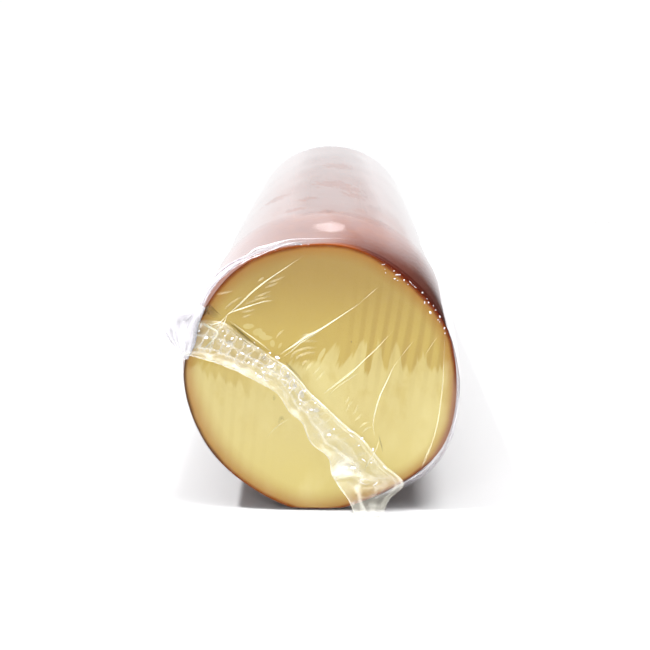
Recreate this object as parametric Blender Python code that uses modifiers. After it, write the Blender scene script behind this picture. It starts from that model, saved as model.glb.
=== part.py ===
"""A smoked cheese log with one cut end, sealed in a clear vacuum bag. Metres, +Z up.

The sealed bag and what it holds are one solid: the outside of the tight film. The log lies along +Y on a
narrow flat, with its cut face towards -Y. The bag's crimped seal lies folded across the cut face, from an
ear at the left of the rim to a flared ear at the bottom, and a second seal lies across the far end.
"""

import math

import bmesh
import bpy
from mathutils import Matrix, Vector

NAME = "bagged_cheese_log"

# Driving dimensions of the log
LOG_LENGTH = 0.333
LOG_RADIUS = 0.052
RIM_RADIUS = 0.050
RIM_SWELL_LENGTH = 0.050  # over which the log grows from its cut rim to its full radius
RIM_ROUNDING = 0.0010
REST_FLAT_DEPTH = 0.0008  # how much of the round is pressed flat where the log lies
CUT_TILT = math.radians(3.4)  # the knife leaned back, so the top of the log is shorter
BACK_EDGE_RADIUS = 0.012
BACK_DOME = 0.002

# The cross section: a round pressed nearly flat at these angles from +X. Each press has its depth at the cut
# rim as a share of the radius, the share of it that is left further back, and the length over which it fades
ROUND_SHARE = 1.047
ROUND_LEFT = 0.35
ROUND_FADE_LENGTH = 0.060
PRESS_SHARPNESS = 12
PRESSED = (
    (48, 0.071, 0.0, 0.008),
    (4, 0.055, 0.2, 0.030),
    (-64, 0.064, 0.35, 0.060),
    (-125, 0.061, 0.35, 0.060),
    (-160, 0.049, 0.35, 0.060),
    (152, 0.043, 0.35, 0.060),
    (97, 0.031, 0.35, 0.040),
)

# Loose film behind the cut rim: angle, reach to each side in degrees, height, place behind the rim, length
LOOSE_FILM = (
    (140, 46, 0.0020, 0.0035, 0.0050),
    (-2, 26, 0.0016, 0.0130, 0.0180),
    (-40, 24, 0.0022, 0.0020, 0.0050),
)

# The folded seal on the cut face, from the face's centre, +X right and +Y up the face: its fold line, and
# its free edge, both from the left ear to the tip of the bottom ear
SEAL_RIDGE = (
    (-0.0475, 0.0234),
    (-0.0435, 0.0228),
    (-0.0360, 0.0206),
    (-0.0273, 0.0188),
    (-0.0178, 0.0105),
    (-0.0072, 0.0009),
    (0.0014, -0.0088),
    (0.0091, -0.0166),
    (0.0151, -0.0212),
    (0.0230, -0.0317),
    (0.0314, -0.0379),
    (0.0283, -0.0424),
    (0.0235, -0.0455),
    (0.0220, -0.0497),
)
SEAL_FREE_EDGE = (
    (-0.0510, 0.0110),
    (-0.0468, 0.0098),
    (-0.0390, 0.0079),
    (-0.0320, 0.0052),
    (-0.0245, 0.0018),
    (-0.0129, -0.0088),
    (-0.0056, -0.0176),
    (-0.0014, -0.0245),
    (0.0030, -0.0298),
    (0.0042, -0.0340),
    (0.0054, -0.0394),
    (0.0089, -0.0430),
    (0.0114, -0.0463),
    (0.0130, -0.0497),
)
SEAL_STAND_OFF = 0.0016
SEAL_LIP_HEIGHT = 0.0010  # how much further the free edge stands off the face
SEAL_BEDDING = 0.0016
CRIMP_PITCH = 0.0046
CRIMP_DEPTH = 0.0004
BOTTOM_EAR_REACH = 0.0045  # how far the bottom ear's tip curls out from the face
BOTTOM_EAR_START = 0.78  # share of the seal's length where the curl begins

# The ear at the left of the rim: its root inside the rim and its outer edge, both from top to bottom
EAR_ROOT = ((-0.0400, 0.0285), (-0.0440, 0.0190), (-0.0470, 0.0085))
EAR_EDGE = ((-0.0452, 0.0290), (-0.0575, 0.0205), (-0.0520, 0.0090))
EAR_LEAN_BACK = 0.0060
EAR_THICKNESS = 0.0018

# The seal across the far end
BACK_SEAL_LENGTH = 0.084
BACK_SEAL_WIDTH = 0.011
BACK_SEAL_TURN = math.radians(-24)
BACK_SEAL_STAND_OFF = 0.0014

ROUND_STEPS = 96
BODY_STATIONS = 22
CORNER_STATIONS = 6
MERGE = 1e-5


def clear_scene():
    """Remove every object of the scene."""
    for item in list(bpy.data.objects):
        bpy.data.objects.remove(item, do_unlink=True)


def new_collection(name):
    """Return a new collection in the scene."""
    made = bpy.data.collections.new(name)
    bpy.context.scene.collection.children.link(made)
    return made


def finish(name, colour, roughness):
    """Return a Principled material of one colour."""
    material = bpy.data.materials.new(name)
    material.use_nodes = True
    shader = material.node_tree.nodes["Principled BSDF"]
    shader.inputs["Base Color"].default_value = (*colour, 1)
    shader.inputs["Roughness"].default_value = roughness
    shader.inputs["Metallic"].default_value = 0
    return material


def smooth_step(share):
    """Return 0 to 1 for a share of 0 to 1, level at both ends."""
    share = min(max(share, 0.0), 1.0)
    return share * share * (3 - 2 * share)


def curve_point(points, share):
    """Return the point at a share of the way along a smooth curve through the points given."""
    spans = len(points) - 1
    at = min(max(share, 0.0), 1.0) * spans
    span = min(int(at), spans - 1)
    t = at - span
    start, end = Vector(points[span]), Vector(points[span + 1])
    before = Vector(points[span - 1]) if span else 2 * start - end
    after = Vector(points[span + 2]) if span + 2 <= spans else 2 * end - start
    pull_in = (end - before) / 2
    pull_out = (after - start) / 2
    bend = 3 * (end - start) - 2 * pull_in - pull_out
    twist = 2 * (start - end) + pull_in + pull_out
    return start + t * (pull_in + t * (bend + t * twist))


def body_radius(along):
    """Return the log's radius at a distance behind its cut face."""
    swell = smooth_step(along / RIM_SWELL_LENGTH)
    return RIM_RADIUS + (LOG_RADIUS - RIM_RADIUS) * swell


def share_left(along, left, fade_length):
    """Return how much of the cut rim's form is left at a distance behind it."""
    return left + (1 - left) * math.exp(-along / fade_length)


def section_share(angle, along):
    """Return the section's radius at an angle and a distance behind the cut, as a share of the full radius."""
    pressed = 1.0
    for degrees, depth, left, fade_length in PRESSED:
        facing = math.cos(angle - math.radians(degrees))
        if facing > 0:
            depth_here = depth * share_left(along, left, fade_length)
            pressed += ((1 - depth_here) ** -PRESS_SHARPNESS - 1) * facing**PRESS_SHARPNESS
    fullness = 1 + (ROUND_SHARE - 1) * share_left(along, ROUND_LEFT, ROUND_FADE_LENGTH)
    return fullness * pressed ** (-1 / PRESS_SHARPNESS)


def centre_height(along):
    """Return the height of the section's centre: every section stands on the same flat line."""
    return body_radius(along) * section_share(-math.pi / 2, along) - REST_FLAT_DEPTH


def loose_film_height(angle, along):
    """Return how far the loose film stands off the log near the cut rim."""
    height = 0.0
    for degrees, reach, most, place, length in LOOSE_FILM:
        turn = (math.degrees(angle) - degrees + 180) % 360 - 180
        round_share = smooth_step(1 - abs(turn) / reach)
        along_share = math.exp(-(((along - place) / length) ** 2))
        height += most * round_share * along_share
    return height


def far_dome(radius):
    """Return how far the far end swells out at a distance from its middle."""
    return BACK_DOME * max(0.0, 1 - (radius / (LOG_RADIUS - BACK_EDGE_RADIUS)) ** 2)


def log_profile():
    """Return the turned half outline (radius, distance behind the cut), from the cut's centre to the far end's."""
    points = [(0.0, 0.0), (0.5 * RIM_RADIUS, 0.0)]
    for step in range(4):
        turn = step / 3 * math.pi / 2
        points.append((RIM_RADIUS - RIM_ROUNDING * (1 - math.sin(turn)), RIM_ROUNDING * (1 - math.cos(turn))))
    corner = LOG_LENGTH - BACK_EDGE_RADIUS
    for step in range(1, BODY_STATIONS + 1):
        # stations lie closer together near the cut rim
        along = RIM_ROUNDING + (corner - RIM_ROUNDING) * (step / BODY_STATIONS) ** 1.7
        points.append((body_radius(along), along))
    for step in range(1, CORNER_STATIONS + 1):
        turn = step / CORNER_STATIONS * math.pi / 2
        radius = LOG_RADIUS - BACK_EDGE_RADIUS * (1 - math.cos(turn))
        points.append((radius, corner + (BACK_EDGE_RADIUS - BACK_DOME) * math.sin(turn)))
    for share in (0.66, 0.33, 0.0):
        radius = share * (LOG_RADIUS - BACK_EDGE_RADIUS)
        points.append((radius, LOG_LENGTH - BACK_DOME + far_dome(radius)))
    return points


def turned(name, profile, collection):
    """Return a mesh object turned round Z from a profile of (radius, height) points."""
    mesh = bpy.data.meshes.new(name)
    mesh.from_pydata([(r, 0, h) for r, h in profile], [(i, i + 1) for i in range(len(profile) - 1)], [])
    item = bpy.data.objects.new(name, mesh)
    collection.objects.link(item)
    screw = item.modifiers.new("turn", "SCREW")
    screw.axis = "Z"
    screw.steps = ROUND_STEPS
    screw.render_steps = ROUND_STEPS
    screw.use_merge_vertices = True
    screw.merge_threshold = MERGE
    apply_modifiers(item)
    return item


def apply_modifiers(item):
    """Make a mesh object's evaluated shape its own mesh."""
    bpy.context.view_layer.update()
    seen = item.evaluated_get(bpy.context.evaluated_depsgraph_get())
    solid = bpy.data.meshes.new_from_object(seen)
    item.modifiers.clear()
    item.data = solid


def face_outwards(item):
    """Turn a closed mesh's faces outwards."""
    edit = bmesh.new()
    edit.from_mesh(item.data)
    bmesh.ops.recalc_face_normals(edit, faces=edit.faces)
    edit.to_mesh(item.data)
    edit.free()


def press_log(item):
    """Lay the turned log along +Y and give it its pressed section, leaning cut, loose film and rest flat."""
    for vertex in item.data.vertices:
        radius = math.hypot(vertex.co.x, vertex.co.y)
        angle = math.atan2(vertex.co.y, vertex.co.x)
        along = vertex.co.z
        reach = radius * section_share(angle, along)
        if radius > 0.9 * body_radius(along):
            reach += loose_film_height(angle, along)
        height = reach * math.sin(angle)
        lean = math.tan(CUT_TILT) * height * (1 - along / LOG_LENGTH)
        place = along + lean - LOG_LENGTH / 2
        vertex.co = Vector((reach * math.cos(angle), place, max(centre_height(along) + height, 0.0)))
    face_outwards(item)


def cut_face():
    """Return the cut face's frame: its centre, +X right, +Y up the face and +Z out of it."""
    centre = Matrix.Translation((0, -LOG_LENGTH / 2, centre_height(0)))
    return centre @ Matrix.Rotation(math.pi / 2 - CUT_TILT, 4, "X")


def far_face():
    """Return the far end's frame: the foot of its dome, +Z out of it, turned as its seal lies."""
    centre = Matrix.Translation((0, LOG_LENGTH / 2 - BACK_DOME, centre_height(LOG_LENGTH)))
    return centre @ Matrix.Rotation(-math.pi / 2, 4, "X") @ Matrix.Rotation(BACK_SEAL_TURN, 4, "Z")


def film_fold(name, frame, place, columns, rows, thickness, collection):
    """Add a folded piece of film: a grid bent by place(along, across), both 0 to 1, as thick as asked."""
    edit = bmesh.new()
    bmesh.ops.create_grid(edit, x_segments=columns, y_segments=rows, size=0.5)
    back = list(edit.verts)
    raised = bmesh.ops.extrude_face_region(edit, geom=list(edit.faces), use_keep_orig=True)["geom"]
    front = [piece for piece in raised if isinstance(piece, bmesh.types.BMVert)]
    for vertex in front:
        vertex.co = place(vertex.co.x + 0.5, vertex.co.y + 0.5)
    for vertex in back:
        vertex.co = place(vertex.co.x + 0.5, vertex.co.y + 0.5) - Vector((0, 0, thickness))
    mesh = bpy.data.meshes.new(name)
    edit.to_mesh(mesh)
    edit.free()
    item = bpy.data.objects.new(name, mesh)
    collection.objects.link(item)
    item.matrix_world = frame
    face_outwards(item)


def front_seal_place(along, across):
    """Return a point of the front seal's top, from its free edge (across 0) to its fold line (across 1)."""
    free = curve_point(SEAL_FREE_EDGE, along)
    ridge = curve_point(SEAL_RIDGE, along)
    point = free.lerp(ridge, across)
    lip = SEAL_LIP_HEIGHT * smooth_step(1 - across / 0.4)
    crimp = CRIMP_DEPTH * math.cos(2 * math.pi * along * seal_length() / CRIMP_PITCH) * math.sin(math.pi * across)
    curl = BOTTOM_EAR_REACH * smooth_step((along - BOTTOM_EAR_START) / (1 - BOTTOM_EAR_START))
    return Vector((*point, SEAL_STAND_OFF + lip + crimp + curl))


def seal_length():
    """Return the front seal's length along its fold line."""
    ends = [Vector(point) for point in SEAL_RIDGE]
    return sum((after - before).length for before, after in zip(ends, ends[1:]))


def left_ear_place(along, across):
    """Return a point of the left ear's front, from its bottom (along 0) to its top, root at across 1."""
    root = curve_point(EAR_ROOT, 1 - along)
    edge = curve_point(EAR_EDGE, 1 - along)
    return Vector((*edge.lerp(root, across), -EAR_LEAN_BACK * (1 - across) ** 1.5))


def back_seal_place(along, across):
    """Return a point of the far seal's top."""
    crimp = CRIMP_DEPTH * math.cos(2 * math.pi * along * BACK_SEAL_LENGTH / CRIMP_PITCH) * math.sin(math.pi * across)
    place = Vector((BACK_SEAL_LENGTH * (along - 0.5), BACK_SEAL_WIDTH * (across - 0.5)))
    return Vector((*place, far_dome(place.length) + BACK_SEAL_STAND_OFF + crimp))


def join(item, collection):
    """Join a collection's solids to a mesh object and remove them."""
    union = item.modifiers.new("join film folds", "BOOLEAN")
    union.operation = "UNION"
    union.operand_type = "COLLECTION"
    union.collection = collection
    union.solver = "EXACT"
    apply_modifiers(item)
    for other in list(collection.objects):
        bpy.data.objects.remove(other)


def main():
    """Build the sealed bag with the log in it as one solid."""
    clear_scene()
    parts = new_collection(NAME)
    folds = new_collection("film_folds")
    log = turned(NAME, log_profile(), parts)
    press_log(log)
    film_fold("front_seal", cut_face(), front_seal_place, 60, 4, SEAL_STAND_OFF + SEAL_BEDDING, folds)
    film_fold("left_ear", cut_face(), left_ear_place, 8, 6, EAR_THICKNESS, folds)
    film_fold("back_seal", far_face(), back_seal_place, 40, 2, BACK_SEAL_STAND_OFF + SEAL_BEDDING, folds)
    join(log, folds)
    log.data.materials.clear()
    log.data.materials.append(finish("smoked_rind_under_film", (0.30, 0.085, 0.045), 0.25))
    log.data.shade_smooth()
    log.data.set_sharp_from_angle(angle=math.radians(40))


main()
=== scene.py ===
"""Looks for a smoked cheese log with one cut end, sealed in a tight clear vacuum bag. Metres, +Z up.

The log lies along +Y with its cut face towards -Y. The bag's one solid is replaced by the cheese, its rind,
and the film round them: the tight wrap, the crimped seal folded across the cut face, its two ears, the
tension folds that pull on the face, and a seal across the far end.
"""

import logging
import math
from dataclasses import dataclass
from enum import Enum
from functools import partialmethod
from typing import Callable, Sequence

import bpy
import numpy as np
from mathutils import Matrix, Vector

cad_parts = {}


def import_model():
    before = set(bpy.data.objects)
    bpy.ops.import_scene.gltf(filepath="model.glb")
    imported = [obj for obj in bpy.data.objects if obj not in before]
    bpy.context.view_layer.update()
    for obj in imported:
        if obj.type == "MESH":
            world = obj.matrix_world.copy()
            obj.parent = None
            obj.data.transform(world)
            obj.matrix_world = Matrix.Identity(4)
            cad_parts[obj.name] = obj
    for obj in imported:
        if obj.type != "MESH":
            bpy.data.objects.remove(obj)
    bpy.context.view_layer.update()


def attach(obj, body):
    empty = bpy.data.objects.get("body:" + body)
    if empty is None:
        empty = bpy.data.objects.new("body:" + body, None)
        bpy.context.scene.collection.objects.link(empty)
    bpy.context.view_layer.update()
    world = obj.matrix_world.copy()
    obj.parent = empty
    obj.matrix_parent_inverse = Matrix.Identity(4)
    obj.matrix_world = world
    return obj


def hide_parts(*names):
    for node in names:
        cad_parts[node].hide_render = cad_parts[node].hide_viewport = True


LOG = logging.getLogger("cheese_log")
NODE = "bagged_cheese_log"
BODY = "root"
MM = 0.001

Points = Sequence[tuple[float, float]]
Bead = tuple[float, float, float, float, float]
Route = tuple[float, float, Points]
Colour = tuple[int, int, int]
Light = tuple[float, float, float, float]
Field = np.ndarray | float
Profile = tuple[np.ndarray, np.ndarray]


class Slot(Enum):
    """Names of the material slots, which nothing in this script uses."""

    RIND = "smoked_rind"
    PASTE = "cut_cheese"
    FILM = "clear_film"


# ---------------------------------------------------------------- numbers


def smooth_step(share: Field) -> np.ndarray:
    """Return 0 to 1 for shares of 0 to 1, level at both ends."""
    share = np.clip(share, 0.0, 1.0)
    return share * share * (3 - 2 * share)


def bump(values: Field, middle: Field, reach: float) -> np.ndarray:
    """Return a smooth hump of height 1 at the middle that ends at the reach to each side."""
    return smooth_step(1 - np.abs(values - middle) / reach)


def window(values: Field, start: Field, whole_from: Field, whole_to: Field, stop: Field) -> np.ndarray:
    """Return 1 between the two whole places, 0 before start and after stop, and smooth between."""
    rising = smooth_step((values - start) / (whole_from - start))
    return rising * smooth_step((stop - values) / (stop - whole_to))


def curve_points(points: Points, shares: np.ndarray) -> np.ndarray:
    """Return points of a smooth curve through the points given.

    Args:
        points: the points to pass through, evenly spaced in share.
        shares: how far along each wanted point lies, 0 to 1.

    Returns:
        An array with one row for each share.
    """
    given = np.asarray(points, float)
    padded = np.vstack([2 * given[0] - given[1], given, 2 * given[-1] - given[-2]])
    at = np.clip(shares, 0, 1) * (len(given) - 1)
    span = np.minimum(at.astype(int), len(given) - 2)
    t = (at - span)[..., None]
    before, start, end, after = (padded[span + step] for step in range(4))
    pull_in, pull_out = (end - before) / 2, (after - start) / 2
    bend = 3 * (end - start) - 2 * pull_in - pull_out
    twist = 2 * (start - end) + pull_in + pull_out
    return start + t * (pull_in + t * (bend + t * twist))


def ripple(x: np.ndarray, y: np.ndarray, seed: int, waves: int = 14) -> np.ndarray:
    """Return a smooth uneven field of about -1 to 1, with details about one unit across.

    Args:
        x: first coordinate of each point, in units of the wanted detail.
        y: second coordinate of each point.
        seed: picks the pattern.
        waves: how many sine waves are summed.

    Returns:
        The field's value at each point.
    """
    draw = np.random.default_rng(seed)
    total = np.zeros(np.broadcast(x, y).shape)
    for _ in range(waves):
        turn, phase = draw.uniform(0, 2 * math.pi, 2)
        beat = draw.uniform(2.5, 6.5)
        total += np.sin(beat * (x * math.cos(turn) + y * math.sin(turn)) + phase)
    return total / math.sqrt(waves)


def ripple_along(x: np.ndarray, seed: int) -> np.ndarray:
    """Return the ripple at places along a line."""
    return ripple(x, 0 * x, seed)


def round_angles(around: int) -> np.ndarray:
    """Return evenly spaced angles round a full turn."""
    return np.arange(around) / around * 2 * math.pi


def degrees_from(angle: np.ndarray, middle: float = 0.0) -> np.ndarray:
    """Return how far angles lie from a direction, both ways, in degrees."""
    return (np.degrees(angle) - middle + 180) % 360 - 180


def linear(colour: Colour) -> Light:
    """Return a colour named by its display values, as the shader's light values."""
    shares = [value / 255 for value in colour]
    lights = [share / 12.92 if share <= 0.04045 else ((share + 0.055) / 1.055) ** 2.4 for share in shares]
    return (*lights, 1.0)


# ---------------------------------------------------------------- node graphs


class Link:
    """The value of a node's socket, with the arithmetic that Math nodes do."""

    def __init__(self, graph: "Graph", socket: bpy.types.NodeSocket) -> None:
        """Keep the graph and the output socket."""
        self.graph = graph
        self.socket = socket

    def maths(self, operation: str, *others: "Link | float", flipped: bool = False) -> "Link":
        """Return the result of one Math node on this value and others."""
        values = (*others, self) if flipped else (self, *others)
        return self.graph.node("ShaderNodeMath", {"operation": operation}, dict(enumerate(values)))

    __add__ = __radd__ = partialmethod(maths, "ADD")
    __sub__ = partialmethod(maths, "SUBTRACT")
    __rsub__ = partialmethod(maths, "SUBTRACT", flipped=True)
    __mul__ = __rmul__ = partialmethod(maths, "MULTIPLY")
    __truediv__ = partialmethod(maths, "DIVIDE")
    __pow__ = partialmethod(maths, "POWER")

    def step(self, low: "Link | float", high: "Link | float") -> "Link":
        """Return 0 below low and 1 above high, smooth between."""
        inputs = {"Value": self, "From Min": low, "From Max": high}
        return self.graph.node("ShaderNodeMapRange", {"interpolation_type": "SMOOTHSTEP"}, inputs)


class Graph:
    """Builds one node tree."""

    def __init__(self, tree: bpy.types.NodeTree) -> None:
        """Keep the tree."""
        self.tree = tree

    @staticmethod
    def socket(sockets: bpy.types.bpy_prop_collection, key: int | str) -> bpy.types.NodeSocket:
        """Return a socket by its place, its identifier or its name."""
        if isinstance(key, int):
            return sockets[key]
        return next(each for each in sockets if key in (each.identifier, each.name) and each.enabled)

    def feed(self, socket: bpy.types.NodeSocket, value: object) -> None:
        """Link a value to a socket, or set it there."""
        if isinstance(value, (list, tuple)) and value and isinstance(value[0], Link):
            for each in value:
                self.tree.links.new(each.socket, socket)
        elif isinstance(value, Link):
            self.tree.links.new(value.socket, socket)
        else:
            socket.default_value = value

    def node(
        self,
        kind: str,
        settings: dict[str, object] | None = None,
        inputs: dict[int | str, object] | None = None,
        output: int | str = 0,
    ) -> Link:
        """Add a node.

        Args:
            kind: the node's type.
            settings: its own settings, set first; "stops" gives a colour ramp's places and colours.
            inputs: values or links for its sockets.
            output: which output to return.

        Returns:
            The output as a Link.
        """
        made = self.tree.nodes.new(kind)
        for name, value in (settings or {}).items():
            if name == "stops":
                self.set_stops(made.color_ramp, value)
            else:
                setattr(made, name, value)
        for key, value in (inputs or {}).items():
            self.feed(self.socket(made.inputs, key), value)
        return Link(self, self.socket(made.outputs, output))

    @staticmethod
    def set_stops(ramp: bpy.types.ColorRamp, stops: Sequence[tuple[float, tuple[float, ...]]]) -> None:
        """Give a colour ramp its stops."""
        while len(ramp.elements) < len(stops):
            ramp.elements.new(0.5)
        for element, (place, colour) in zip(ramp.elements, stops):
            element.position = place
            element.color = (*colour, 1)

    def mix(self, start: object, end: object, share: Link) -> Link:
        """Return a blend of two colours."""
        inputs = {"Factor_Float": share, "A_Color": start, "B_Color": end}
        return self.node("ShaderNodeMix", {"data_type": "RGBA"}, inputs, "Result_Color")

    def vector(self, operation: str, *values: object) -> Link:
        """Return the result of one Vector Math node."""
        return self.node("ShaderNodeVectorMath", {"operation": operation}, dict(enumerate(values)))

    def point(self, **axes: Link | float) -> Link:
        """Return a vector from its parts, X, Y and Z."""
        return self.node("ShaderNodeCombineXYZ", None, axes)

    def texture(self, at: Link, scale: float, detail: float) -> Link:
        """Return a noise, about 0 to 1, at places given."""
        return self.node("ShaderNodeTexNoise", None, {"Vector": at, "Scale": scale, "Detail": detail})

    def scaled(self, value: Link, factor: Link | float) -> Link:
        """Return a vector times a number."""
        return self.node("ShaderNodeVectorMath", {"operation": "SCALE"}, {0: value, "Scale": factor})


class Shader(Graph):
    """A material's graph, with its Principled shader."""

    def __init__(self, name: str) -> None:
        """Make an empty material with a Principled shader."""
        self.material = bpy.data.materials.new(name)
        self.material.use_nodes = True
        super().__init__(self.material.node_tree)
        self.surface = self.tree.nodes["Principled BSDF"]
        self.place = self.node("ShaderNodeTexCoord", output="Object")

    def set(self, **values: object) -> None:
        """Set or link the Principled shader's sockets, named with _ for a space."""
        for name, value in values.items():
            self.feed(self.surface.inputs[name.replace("_", " ")], value)

    def stain(self, colour: object, stain: Colour, share: Link) -> Link:
        """Return a colour with another, named by its display values, laid over it."""
        return self.mix(colour, linear(stain), share)

    def noise(self, scale: float, detail: float = 3, stretch: Sequence[float] = (1, 1, 1)) -> Link:
        """Return a noise of object space, about 0 to 1."""
        return self.texture(self.vector("MULTIPLY", self.place, stretch), scale, detail)

    def attribute(self, name: str) -> Link:
        """Return a float attribute of the mesh."""
        return self.node("ShaderNodeAttribute", {"attribute_name": name}, output="Fac")

    def relief(self, height: Link, strength: float, distance: float) -> None:
        """Feed a height through a Bump node to the shader's normal."""
        inputs = {"Height": height, "Strength": strength, "Distance": distance}
        self.set(Normal=self.node("ShaderNodeBump", None, inputs))


class GeometryTree(Graph):
    """A geometry node tree with named inputs."""

    def __init__(self, name: str) -> None:
        """Make the tree with a geometry input and output."""
        super().__init__(bpy.data.node_groups.new(name, "GeometryNodeTree"))
        self.tree.interface.new_socket("Geometry", in_out="OUTPUT", socket_type="NodeSocketGeometry")
        self.tree.interface.new_socket("Geometry", in_out="INPUT", socket_type="NodeSocketGeometry")
        self.entry = self.tree.nodes.new("NodeGroupInput")

    def input(self, name: str, kind: str) -> bpy.types.NodeTreeInterfaceSocket:
        """Add a named input and return it."""
        return self.tree.interface.new_socket(name, in_out="INPUT", socket_type="NodeSocket" + kind)

    def inputs(self, **usual: float | int | tuple[float, ...]) -> list[Link]:
        """Add an input for each name, of the kind that its usual value has, and return them."""
        kinds = {float: "Float", int: "Int", tuple: "Vector"}
        for name, value in usual.items():
            self.input(name, kinds[type(value)]).default_value = value
        return [self.entry_link(name) for name in usual]

    def entry_link(self, name: str) -> Link:
        """Return one of the tree's inputs."""
        return Link(self, self.entry.outputs[name])

    def named(self, name: str) -> Link:
        """Return a float attribute of the geometry."""
        settings = {"data_type": "FLOAT"}
        return self.node("GeometryNodeInputNamedAttribute", settings, {"Name": name}, "Attribute")

    def store(self, geometry: Link, name: str, value: Link | float) -> Link:
        """Return the geometry with a float attribute stored on its points."""
        settings = {"data_type": "FLOAT", "domain": "POINT"}
        inputs = {"Geometry": geometry, "Name": name, "Value": value}
        return self.node("GeometryNodeStoreNamedAttribute", settings, inputs)

    def beads(self, points: Link, facing: Link, spin: Link, size: Link) -> Link:
        """Return a bead on each point, turned from its facing by its spin and drawn out to its size."""
        bead = self.node("GeometryNodeMeshIcoSphere", None, {"Radius": 1.0, "Subdivisions": 2})
        turned = {0: facing, 1: self.point(Z=spin)}
        rotation = self.node("FunctionNodeRotateRotation", {"rotation_space": "LOCAL"}, turned)
        put = {"Points": points, "Instance": bead, "Rotation": rotation, "Scale": size}
        placed = self.node("GeometryNodeInstanceOnPoints", None, put)
        return self.node("GeometryNodeRealizeInstances", None, {"Geometry": placed})

    def finish(self, geometry: Link) -> None:
        """Realize the instances, set the material and end the tree."""
        self.input("Material", "Material")
        material = self.entry_link("Material")
        real = self.node("GeometryNodeRealizeInstances", None, {"Geometry": geometry})
        smooth = self.node("GeometryNodeSetShadeSmooth", None, {"Geometry": real})
        dressed = self.node("GeometryNodeSetMaterial", None, {"Geometry": smooth, "Material": material})
        end = self.tree.nodes.new("NodeGroupOutput")
        self.feed(end.inputs["Geometry"], dressed)

    def put_on(self, item: bpy.types.Object, **values: object) -> None:
        """Add the tree to an object as a modifier, with its inputs set by their identifiers."""
        modifier = item.modifiers.new(self.tree.name, "NODES")
        modifier.node_group = self.tree
        for entry in self.tree.interface.items_tree:
            if entry.in_out == "INPUT" and entry.name in values:
                modifier[entry.identifier] = values[entry.name]


# ---------------------------------------------------------------- meshes


def new_object(name: str, data: bpy.types.ID) -> bpy.types.Object:
    """Return a new object in the scene."""
    item = bpy.data.objects.new(name, data)
    bpy.context.scene.collection.objects.link(item)
    return item


def set_attributes(mesh: bpy.types.Mesh, **fields: np.ndarray) -> None:
    """Store a number for each vertex of a mesh, under each field's name."""
    for name, values in fields.items():
        attribute = mesh.attributes.new(name, "FLOAT", "POINT")
        attribute.data.foreach_set("value", np.asarray(values, np.float32).ravel())


def with_poles(rings: np.ndarray, pole: float = 0.0) -> np.ndarray:
    """Return the values of a stack of rings, followed by the same value for both poles."""
    return np.append(rings, [pole, pole])


def mesh_object(name: str, vertices: np.ndarray, faces: list[tuple[int, ...]]) -> bpy.types.Object:
    """Return a smooth mesh object."""
    mesh = bpy.data.meshes.new(name)
    mesh.from_pydata(vertices.tolist(), [], faces)
    mesh.shade_smooth()
    return new_object(name, mesh)


def ring_faces(rings: int, around: int) -> list[tuple[int, ...]]:
    """Return the faces of a stack of rings that is closed at both ends by a pole each.

    Args:
        rings: how many rings there are.
        around: how many points a ring has.

    Returns:
        Faces on vertices numbered ring by ring, followed by the first and the last pole.
    """
    faces = []
    first, last = rings * around, rings * around + 1
    for step in range(around):
        after = (step + 1) % around
        faces.append((first, step, after))
        faces.append((last, (rings - 1) * around + after, (rings - 1) * around + step))
        for ring in range(rings - 1):
            low, high = ring * around, (ring + 1) * around
            faces.append((low + step, high + step, high + after, low + after))
    return faces


def sheet_object(name: str, grid: np.ndarray) -> bpy.types.Object:
    """Return a mesh object from a grid of points (rows, columns, 3)."""
    rows, columns = grid.shape[:2]
    faces = []
    for row in range(rows - 1):
        for column in range(columns - 1):
            at = row * columns + column
            faces.append((at, at + 1, at + columns + 1, at + columns))
    return mesh_object(name, grid.reshape(-1, 3), faces)


def finished(item: bpy.types.Object) -> bpy.types.Object:
    """Make an object's evaluated shape a plain mesh object of the same name, and remove the first."""
    bpy.context.view_layer.update()
    seen = item.evaluated_get(bpy.context.evaluated_depsgraph_get())
    mesh = bpy.data.meshes.new_from_object(seen)
    name = item.name
    bpy.data.objects.remove(item)
    return new_object(name, mesh)


def thickened(item: bpy.types.Object, wall: float) -> None:
    """Give an open sheet a wall, so that it is closed."""
    modifier = item.modifiers.new("wall", "SOLIDIFY")
    modifier.thickness = wall
    modifier.offset = -1


def present(item: bpy.types.Object, material: bpy.types.Material | None = None) -> None:
    """Hand a finished piece to the frame, with its material if it has none yet."""
    if material:
        item.data.materials.append(material)
    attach(item, BODY)
    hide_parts(NODE)
    LOG.info("%s: %d faces", item.name, len(item.data.polygons))


def present_grown(
    item: bpy.types.Object,
    tree: GeometryTree,
    material: bpy.types.Material,
    **values: object,
) -> None:
    """Grow a piece of film from an object by a tree's rule, and hand it to the frame."""
    tree.put_on(item, Material=material, **values)
    present(finished(item))


# ---------------------------------------------------------------- the log's form


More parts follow.
